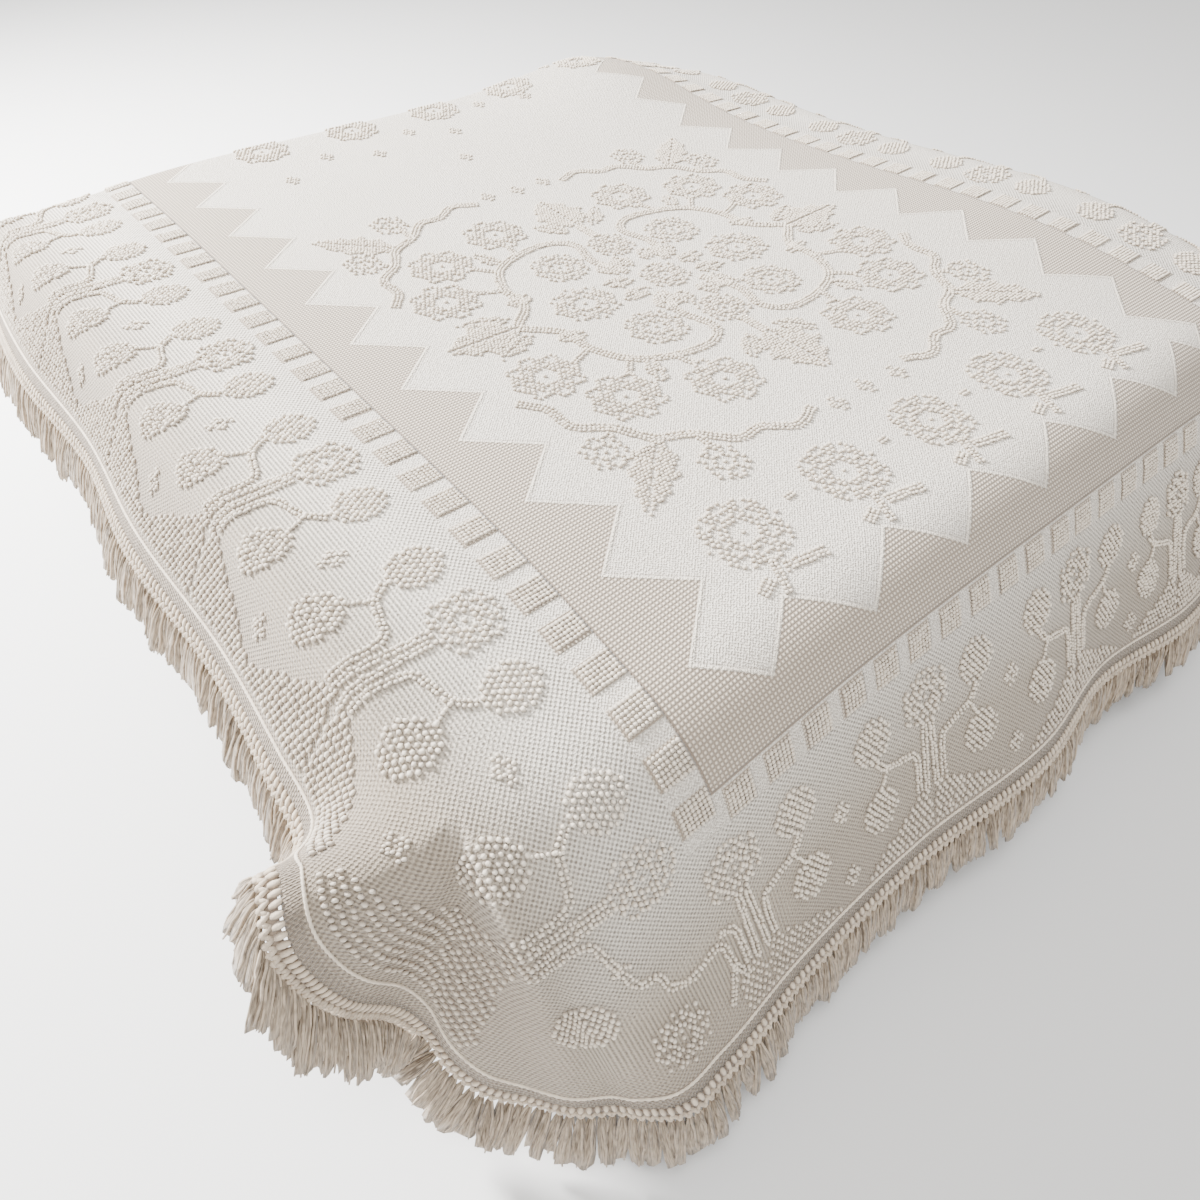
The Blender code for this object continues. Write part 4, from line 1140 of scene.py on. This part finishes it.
def sheet_mesh(look):
    """The cloth: a grid on the flat of the bed, then columns of points down to the hem.

    The draped place of every point is drape(u, v), and its own thickness is laid inwards.
    """
    xs, ys, grid = flat_grid(look.cell)
    along = column_places(look)
    start, place, face = hem_line(along)
    # the band below the corded line ends half way to each head corner
    short = (CORD["head"] - HEAD_ROUND) / 2
    head_end = SIDE_START["right"] + side_run("right") + short
    at = np.mod(along, LOOP)
    band = np.where((at > head_end) & (at < SIDE_START["left"] - short), 0.0, HEM_BAND)
    way = place + face * band[:, None] - start
    share = (np.arange(look.drop_rows) + 1)[None, :, None] / look.drop_rows
    flat = np.concatenate([grid, (start[:, None] + way[:, None] * share).reshape(-1, 2)])
    faces = np.concatenate([grid_triangles(len(xs), len(ys)),
                            skirt(len(along), look.drop_rows, start, xs, ys)])
    obj = add_piece("spread_sheet", drape(*flat.T), faces)
    set_uv(obj, "flat_cloth", flat)
    whole, reach = np.linalg.norm(way, axis=1), np.linalg.norm(place - start, axis=1)
    past = np.where(band[:, None] > 0, share[..., 0] * whole[:, None] - reach[:, None], -1.0)
    set_attribute(obj, "beyond", np.concatenate([np.full(len(grid), -1.0), past.ravel()]))
    to_head = 2.5                 # so that the distance starts anew at the head, where no ribs are
    run = np.repeat(np.mod(along + to_head, LOOP), look.drop_rows)
    set_attribute(obj, "along", np.concatenate([np.zeros(len(grid)), run]))
    shell = obj.modifiers.new("thickness", "SOLIDIFY")
    shell.thickness = CLOTH_THICK
    shell.offset = -1.0
    return obj


def tuft_piece(name, rows, look, seed, sides, full, stray, slim):
    """Tufts of yarn standing on the cloth, each a round bulging form with the given sides.

    Its radius goes through the profile's rings to a point at the top; a full one has one ring more.
    A tuft strays from its place at random by about the given length, and slim scales its width.
    """
    rng = np.random.default_rng(seed)
    n = len(rows)
    here, along_u, along_v, normal, stretch = surface_frames(rows[:, 0] + rng.normal(0, stray, n),
                                                             rows[:, 1] + rng.normal(0, stray, n))
    size = rng.uniform(0.88, 1.12, (n, 1)) * slim
    half_u = rows[:, 2:3] * size * np.clip(stretch[0], 0.55, 1.15)
    half_v = rows[:, 3:4] * size * np.clip(stretch[1], 0.55, 1.15)
    tall = rows[:, 4:5] * rng.uniform(0.85, 1.12, (n, 1)) * look.pile_height / PILE_HEIGHT
    lean = along_u * rng.normal(0, 0.1, (n, 1)) + along_v * rng.normal(0, 0.1, (n, 1))
    profile = FULL_TUFT if full else LOW_TUFT
    obj = add_piece(name, *turned(here, along_u * half_u, along_v * half_v, (normal + lean) * tall,
                                  profile, sides, rng.uniform(0, ANY_TURN, n)))
    # rise is each ring's height share; the pile material paints shade low on a tuft from it
    rise = [np.full(sides, max(0.0, h)) for _, h in profile[:-1]] + [[1.0]]
    outer = np.maximum(np.abs(rows[:, 0] - CENTRE_U) - BAND_OUT, FOOT_OUT - rows[:, 1])
    # painted shade: tufts far down the drops are darkened, with a little random tone as well
    dimming = 1 - 0.26 * np.clip((outer - 0.16) / 0.14, 0, 1) - rng.uniform(0, 0.12, n)
    set_attribute(obj, "rise", (np.concatenate(rise)[None] * dimming[:, None]).ravel())
    return obj


def fringe_span():
    """Where the fringe begins and ends along the corded line: head end to head end."""
    return SIDE_START["left"] - LOOP, SIDE_START["right"] + side_run("right")


def even_places(low, high, pitch):
    """Places along the corded line whose points on the draped hem lie a pitch apart."""
    fine = np.linspace(low, high, 6001)
    here = edge_frames(fine, HEM_BAND)[0]
    run = np.concatenate([[0], np.cumsum(np.linalg.norm(np.diff(here, axis=0), axis=1))])
    n = round(run[-1] / pitch)
    return np.interp((np.arange(n) + 0.5) * run[-1] / n, run, fine)


def heading_mesh(look, places):
    """Barrel loops under the hem, then two cords from them to each tassel, joined in a knot.

    The cords of one tassel start a little past half way to the next, so that neighbours cross. A
    narrow dark strip lies behind them: painted shade seen between the cords.
    """
    rng = np.random.default_rng(7)
    at = even_places(*fringe_span(), look.loop_pitch)
    here, across, down, normal = edge_frames(at, HEM_BAND)
    lean = down + across * rng.normal(0.10, 0.05, (len(at), 1))
    parts = [turned(here + down * BARREL_DOWN - normal * 0.0006, across, normal * 0.96, lean, BARREL,
                    6, np.zeros(len(at)))]
    # painted shade: a barrel loop is darker on the two sides facing its neighbours, and at its ends, more
    # so lower down
    meet = np.array([0.05, 1.0, 1.0, 0.05, 1.0, 1.0])
    tones = [np.tile(np.concatenate([0.80 * meet, meet, 0.65 * meet, [0.3, 0.2]]), len(at))]
    here, across, down, normal = edge_frames(places, HEM_BAND)
    middle = here + down * KNOT_DOWN - normal * 0.0004
    parts.append(turned(middle, across, normal * 0.82, down, KNOT, 6, rng.uniform(0, 1, len(places))))
    # painted shade: a knot is darker towards its ends, where the cords meet it
    tones.append(np.tile(np.concatenate([np.repeat([0.45, 0.72, 0.62], 6), [0.3, 0.5]]),
                         len(places)))
    for hand in (-CORD_CROSS, CORD_CROSS):
        top, _, top_down, top_normal = edge_frames(places + hand * np.gradient(places), HEM_BAND)
        start = top + top_down * CORD_DOWN - top_normal * (0.0006 + 0.0010 * hand)
        half = (start + middle) / 2 + down * 0.0012 + normal * 0.0010
        parts.append(tubes(np.stack([start, half, middle], 1), np.array([CORD_THICK]), 5,
                           across[:, None]))
        # painted shade: a cord is darker at both ends, where it meets a loop and a knot
        tones.append(np.tile(np.repeat([0.35, 0.75, 0.45], 5), len(places)))
    # painted shade: the strip's low tone makes it dark
    stations = 601
    here, across, down, normal = edge_frames(np.linspace(*fringe_span(), stations), HEM_BAND)
    shade_strip = here[:, None] + down[:, None] * SHADE_STRIP[:, :1] + normal[:, None] * SHADE_STRIP[:, 1:]
    parts.append(many(shade_strip.reshape(1, -1, 3), ring_faces(stations, len(SHADE_STRIP), False, False)))
    tones.append(np.full(stations * len(SHADE_STRIP), 0.08))
    heading = add_piece("fringe_loops", *joined(parts))
    set_attribute(heading, "rise", np.concatenate(tones))
    return heading


def tassel_mesh(look, places):
    """Tassels: a ridged, flattened bunch of yarn with ragged ends, and loose strands round it.

    A point of the bunch is top + way L t + face d(t) cos a + side w(t) sin a, where w and d open
    quickly and then stay; the strands follow the same form and wave a little. The lower ends lean
    together in clumps of two or three, and spread where the hem turns outward.
    """
    rng = np.random.default_rng(19)
    m = len(places)
    here, across, down, normal = edge_frames(places, HEM_BAND)
    top = here + down * (KNOT_DOWN + 0.0030) - normal * 0.0006
    tilt = np.radians(LEAN(places) + rng.normal(0, 3.5, m))[:, None]
    out = unit((down + normal) * (1.0, 1.0, 0.0))
    way = out * np.sin(tilt) - np.array([0.0, 0.0, 1.0]) * np.cos(tilt)
    way = unit(way + across * rng.normal(0, 0.06, (m, 1)))
    side = unit(across - way * (across * way).sum(1)[:, None])
    face = np.cross(side, way)
    group = np.sin(places * 31.0 + 1.2) + np.sin(places * 77.0)
    length = look.tassel_length * (0.94 + 0.045 * group + rng.uniform(-0.05, 0.05, m))
    wide = rng.uniform(0.88, 1.12, (m, 1, 1)) * look.tassel_pitch / TASSEL_PITCH
    clump = np.cumsum(rng.uniform(1.7, 2.7, m))
    sway = (rng.normal(0, 0.0018, m) - 0.0058 * np.sin(clump))[:, None, None]
    tips = top + way * length[:, None]
    apart = np.linalg.norm(np.gradient(tips, axis=0), axis=1) / look.tassel_pitch
    flare = (np.clip(apart, 1.0, 1.7) - 1)[:, None, None]

    def place(t, spread, turn, longer):
        """Points of m bunches: t down them, turn round them, at a share of their half widths."""
        open_w = np.interp(t, TASSEL_T, TASSEL_WIDE) * spread * wide * (1 + flare * t)
        open_d = np.interp(t, TASSEL_T, TASSEL_DEEP) * spread
        drop = (t * longer)[..., None] * length[:, None, None, None]
        return (top[:, None, None] + way[:, None, None] * drop
                + face[:, None, None] * (open_d * np.cos(turn))[..., None]
                + side[:, None, None] * (open_w * np.sin(turn) + sway * t ** 2)[..., None])

    sides = 8
    round_it = np.arange(sides) * 2 * math.pi / sides
    t = np.array(TASSEL_T)[None, :, None] + np.zeros((m, 1, sides))
    turn = rng.uniform(0, ANY_TURN, (m, 1, 1)) + round_it + t * 0.5
    longer = 1 + (t >= 1) * rng.uniform(-0.08, 0.04, (m, 1, sides))
    ridged = 1 - 0.17 * (np.arange(sides) % 2) + rng.normal(0, 0.03, (m, 1, sides))
    body = place(t, ridged, turn, longer)
    bunches = many(body.reshape(m, -1, 3), ring_faces(len(TASSEL_T), sides, False, False))
    lie = np.stack([np.sin(turn) * 0.008 + np.arange(m)[:, None, None] * 0.031, t * YARN_LONG], -1)
    # painted shade: a bunch is darker at its top under the knot and in the grooves between its ridges,
    # with random tone
    tone = 0.26 + 0.34 * t + 0.22 * (ridged > 0.9) + rng.normal(0, 0.08, (m, 1, 1))

    s = look.strands
    t = np.array(STRAND_T)[None, None] + np.zeros((m, s, 1))
    longer = rng.uniform(0.84, 1.00, (m, s, 1))
    wave = rng.uniform(0, ANY_TURN, (m, s, 1)) + t * rng.uniform(5.0, 11.0, (m, s, 1))
    turn = (rng.uniform(0, ANY_TURN, (m, 1, 1)) + np.arange(s)[:, None] * 2 * math.pi / s
            + rng.normal(0, 0.15, (m, s, 1)) + 0.16 * np.sin(wave))
    paths = place(t, 1.0 + 0.10 * np.cos(wave) * t, turn, longer).reshape(m * s, len(STRAND_T), 3)
    thick = np.array(STRAND_THICK)[None] * rng.uniform(0.85, 1.15, (m * s, 1))
    loose = tubes(paths, thick, 4, np.repeat(face, s, axis=0)[:, None])
    obj = add_piece("tassel_yarn", *joined([bunches, loose]))
    # painted shade: a loose strand is darker towards its top, with random tone
    strand_tone = np.repeat(0.66 + 0.24 * t + rng.normal(0, 0.13, (m, s, 1)), 4, axis=-1)
    set_attribute(obj, "rise", np.concatenate([tone.ravel(), strand_tone.ravel()]))
    strand_lie = np.stack([turn * 0.003 + np.arange(m * s).reshape(m, s, 1) * 0.0071, t * YARN_LONG], -1)
    set_uv(obj, "lie_of_yarn", np.concatenate([lie.reshape(-1, 2),
                                               np.repeat(strand_lie.reshape(-1, 2), 4, axis=0)]))
    return obj


def hem_cord_mesh():
    """Corded line of the hem: a cord half sunk in the cloth, twisted from two strands.

    Its radius is 2.1 mm + 0.5 mm cos of the twist, once in about 8 mm of its length.
    """
    low, high = fringe_span()
    n = round((high - low) / CORD_PLY)
    here, _, _, normal = edge_frames(np.linspace(low, high, n + 1), -0.001)
    radius = (0.0021 + 0.0005 * np.cos(np.arange(n + 1) * math.pi))[None]
    points, faces = tubes((here + normal * 0.0006)[None], radius, 6, normal[None])
    obj = add_piece("hem_cord", points, faces)
    set_attribute(obj, "rise", np.full(len(points), 0.9))
    return obj


def mattress_mesh(look):
    """Mattress: the soft flat of the bed, a quarter-round shoulder, then sides drawn in a little.

    A side's distance in from the shoulder is PAD_IN times the sine of half a turn, from 0 at the
    shoulder to 0 at its foot. A line of piping runs along each edge of the sides.
    """
    xs, ys, grid = flat_grid(look.cell * 2.4)
    rest = MATTRESS_CLEAR + PAD_CLEAR
    places = []
    for first, side in PAIRS:
        start, run, length = SIDE_START[side["side"]], corner_run(first, side), side_run(side["side"])
        cells = len(xs) if side["side"] in ("foot", "head") else len(ys)
        places += [start - run + run * np.arange(1, 16) / 16, start + np.linspace(0, length, cells)]
    along = np.concatenate(places)
    start, place, _ = hem_line(along)
    off = place - start
    way = unit(off)
    radius, clear = np.ones(len(along)), np.full(len(along), SHOULDER_CLEAR)
    for first, side in PAIRS:
        p1, p2 = off @ np.array(first["out"]), off @ np.array(side["out"])
        corner = (p1 > NIL) & (p2 > NIL)
        radius = np.where(corner, corner_shoulder(p1, p2, along, first, side), radius)
        clear = np.where(corner, CORNER_CLEAR, clear)
        radius = np.where((np.abs(p1) < NIL) & (p2 > 0), side["shoulder"], radius)
    bend = np.radians(np.linspace(0, 90, 10)[1:])
    out = (radius - clear - PAD_CLEAR)[:, None] * np.sin(bend)
    drop = (radius - rest)[:, None] * (1 - np.cos(bend))
    flat = start[:, None] + way[:, None] * out[..., None]
    height = TOP_Z - rest - drop - sag(flat[..., 0], flat[..., 1])
    low = BASE_TOP + PAD_UP
    share = np.linspace(0, 1, 9)[1:]
    edge, edge_z = flat[:, -1:], height[:, -1:]
    side_flat = edge - way[:, None] * (PAD_IN * np.sin(share * math.pi))[None, :, None]
    side_z = edge_z + (low - edge_z) * share
    body = np.concatenate([np.dstack([flat, height]), np.dstack([side_flat, side_z])], 1)
    rows = body.shape[1]
    top = TOP_Z - rest - sag(*grid.T)
    points = np.concatenate([np.column_stack([grid, top]), body.reshape(-1, 3),
                             [[0.0, (FLAT_FOOT + FLAT_HEAD) / 2, low]]])
    ends = len(grid) + np.arange(len(along)) * rows + rows - 1
    under = np.stack([np.full(len(ends), len(points) - 1), np.roll(ends, -1), ends], -1)
    faces = np.concatenate([grid_triangles(len(xs), len(ys)), skirt(len(along), rows, start, xs, ys),
                            under])
    pad = add_piece("mattress_pad", points, faces)
    pieces = []
    for level in (edge_z[:, 0] - 0.004, np.full(len(along), low + 0.0115)):
        share_at = (edge_z[:, 0] - level) / (edge_z[:, 0] - low)
        ring = edge[:, 0] - way * (0.0012 + PAD_IN * np.sin(share_at * math.pi))[:, None]
        line = smooth_path(np.column_stack([ring, level])[::2], 0.014, closed=True)
        pieces.append(tubes(line[None], PIPING, 8, np.array([[[0.0, 0.0, 1.0]]])))
    return pad, add_piece("mattress_piping", *joined(pieces))


def dress(obj, material):
    """Give a piece its one material."""
    obj.data.materials.clear()
    obj.data.materials.append(material)


# ---------------------------------------------------------------- stage
FLOOR_HALF = 12.0                 # half the floor's width
CAMERA_AT, CAMERA_TURN = (-1.1290, -1.3193, 1.4826), (43.0668, -0.9254, -38.7835)   # in degrees
LENS = 26.357                     # focal length on a sensor 36 mm wide
WORLD_LIGHT = 0.92                # strength of the white light from all round
LAMPS = (                         # name, place, size and power: each faces the middle of the floor
    ("key", (-2.2, 3.4, 3.3), 0.9, 1350.0),
    ("over", (-1.4, -1.4, 4.2), 1.4, 110.0),
    ("fill", (-3.4, -2.4, 3.4), 3.0, 15.0),
)


# ---------------------------------------------------------------- operators
class BEDSPREAD_OT_cloth(bpy.types.Operator):
    """Woven cloth of the bedspread, draped over the bed, with its corded line"""
    bl_idname = "bedspread.cloth"
    bl_label = "Cloth"

    def execute(self, context):
        look = context.scene.bedspread
        cloth = sheet_mesh(look)
        dress(cloth, woven_cotton_ground(look))
        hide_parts("spread_cloth")
        cord = hem_cord_mesh()
        dress(cord, cotton_yarn("twisted_cotton_cord", look.loops, look.groove_shade))
        return {"FINISHED"}


class BEDSPREAD_OT_tufts(bpy.types.Operator):
    """Tufts of the pattern: middle motif, field, both long drops, foot drop and corners"""
    bl_idname = "bedspread.tufts"
    bl_label = "Tufts"

    def execute(self, context):
        look = context.scene.bedspread
        pile = cotton_pile(look)
        left = side_marks()
        corner = corner_marks()
        band, foot_band = block_marks()
        groups = {"tufts_medallion": medallion_marks(), "tufts_field": field_marks(),
                  "tufts_left_drop": left, "tufts_right_drop": mirrored(left),
                  "tufts_foot_drop": foot_marks(), "tufts_near_corner": corner,
                  "tufts_far_corner": mirrored(corner),
                  "block_loops": np.concatenate([band, mirrored(band), foot_band])}
        for i, (name, rows) in enumerate(groups.items()):
            near = name in ("tufts_near_corner", "tufts_foot_drop")
            obj = tuft_piece(name, rows, look, 11 + i, sides=6 if near else 5,
                             full=near or name == "tufts_left_drop",
                             stray=0.0001 if name == "block_loops" else 0.0006,
                             slim=0.9 if near else 1.0)
            dress(obj, pile)
            print(name, len(rows), "tufts", len(obj.data.polygons), "triangles")
        return {"FINISHED"}


class BEDSPREAD_OT_fringe(bpy.types.Operator):
    """Knotted heading and tassels of the fringe"""
    bl_idname = "bedspread.fringe"
    bl_label = "Fringe"

    def execute(self, context):
        look = context.scene.bedspread
        places = even_places(*fringe_span(), look.tassel_pitch)
        heading = heading_mesh(look, places)
        yarn = tassel_mesh(look, places)
        dress(heading, cotton_yarn("knotted_cotton_cord", look.heading, look.groove_shade))
        dress(yarn, loose_cotton_yarn(look))
        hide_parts("fringe_heading")
        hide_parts("fringe_tassels")
        return {"FINISHED"}


class BEDSPREAD_OT_bed(bpy.types.Operator):
    """Mattress with its piping, and the cloth of the base"""
    bl_idname = "bedspread.bed"
    bl_label = "Bed"

    def execute(self, context):
        look = context.scene.bedspread
        pad, piping = mattress_mesh(look)
        ticking = woven_ticking(look)
        dress(pad, ticking)
        dress(piping, cotton_yarn("corded_cotton_piping", look.ticking, look.ticking_dark))
        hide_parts("mattress")
        set_attribute(piping, "rise", np.full(len(piping.data.vertices), 0.8))
        dress(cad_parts["bed_base"], woven_upholstery(look))
        return {"FINISHED"}


class BEDSPREAD_OT_stage(bpy.types.Operator):
    """Floor, lights and camera"""
    bl_idname = "bedspread.stage"
    bl_label = "Stage"

    def execute(self, context):
        look = context.scene.bedspread
        link = context.scene.collection.objects.link
        mesh = bpy.data.meshes.new("floor")
        corners = ((-1, -1), (1, -1), (1, 1), (-1, 1))
        mesh.from_pydata([(x * FLOOR_HALF, y * FLOOR_HALF, 0.0) for x, y in corners], [], [(0, 1, 2, 3)])
        floor = bpy.data.objects.new("floor", mesh)
        link(floor)
        dress(floor, painted_floor(look))

        lens = bpy.data.cameras.new("camera")
        lens.sensor_width, lens.sensor_fit, lens.lens = 36.0, "HORIZONTAL", LENS
        camera = bpy.data.objects.new("camera", lens)
        camera.location = CAMERA_AT
        camera.rotation_euler = Euler([math.radians(d) for d in CAMERA_TURN], "XYZ")
        link(camera)
        context.scene.camera = camera

        world = context.scene.world or bpy.data.worlds.new("studio")
        context.scene.world = world
        world.use_nodes = True
        air = world.node_tree.nodes["Background"]
        air.inputs["Color"].default_value = (1.0, 1.0, 1.0, 1.0)
        air.inputs["Strength"].default_value = WORLD_LIGHT
        for name, place, size, power in LAMPS:
            light = bpy.data.lights.new(name, "AREA")
            light.size, light.energy = size, power
            lamp = bpy.data.objects.new(name, light)
            lamp.location = place
            lamp.rotation_euler = Vector(place).to_track_quat("Z", "Y").to_euler()
            link(lamp)
        return {"FINISHED"}


class BEDSPREAD_PT_panel(bpy.types.Panel):
    """Settings of the bedspread and its pieces"""
    bl_idname = "BEDSPREAD_PT_panel"
    bl_label = "Bedspread"
    bl_space_type = "VIEW_3D"
    bl_region_type = "UI"
    bl_category = "Bedspread"

    def draw(self, context):
        for name in BedspreadSettings.__annotations__:
            self.layout.prop(context.scene.bedspread, name)
        for operator in OPERATORS:
            self.layout.operator(operator.bl_idname)


OPERATORS = (BEDSPREAD_OT_stage, BEDSPREAD_OT_cloth, BEDSPREAD_OT_tufts, BEDSPREAD_OT_fringe,
             BEDSPREAD_OT_bed)


def register():
    """Make the classes known, and give each scene its settings."""
    for item in (BedspreadSettings, *OPERATORS, BEDSPREAD_PT_panel):
        bpy.utils.register_class(item)
    bpy.types.Scene.bedspread = PointerProperty(type=BedspreadSettings)


def unregister():
    """Take back what register() did."""
    del bpy.types.Scene.bedspread
    for item in (BEDSPREAD_PT_panel, *reversed(OPERATORS), BedspreadSettings):
        bpy.utils.unregister_class(item)


def main():
    """Build every piece."""
    register()
    bpy.ops.bedspread.stage()
    bpy.ops.bedspread.cloth()
    bpy.ops.bedspread.tufts()
    bpy.ops.bedspread.fringe()
    bpy.ops.bedspread.bed()
    bpy.context.view_layer.update()


if __name__ == "__main__":
    main()
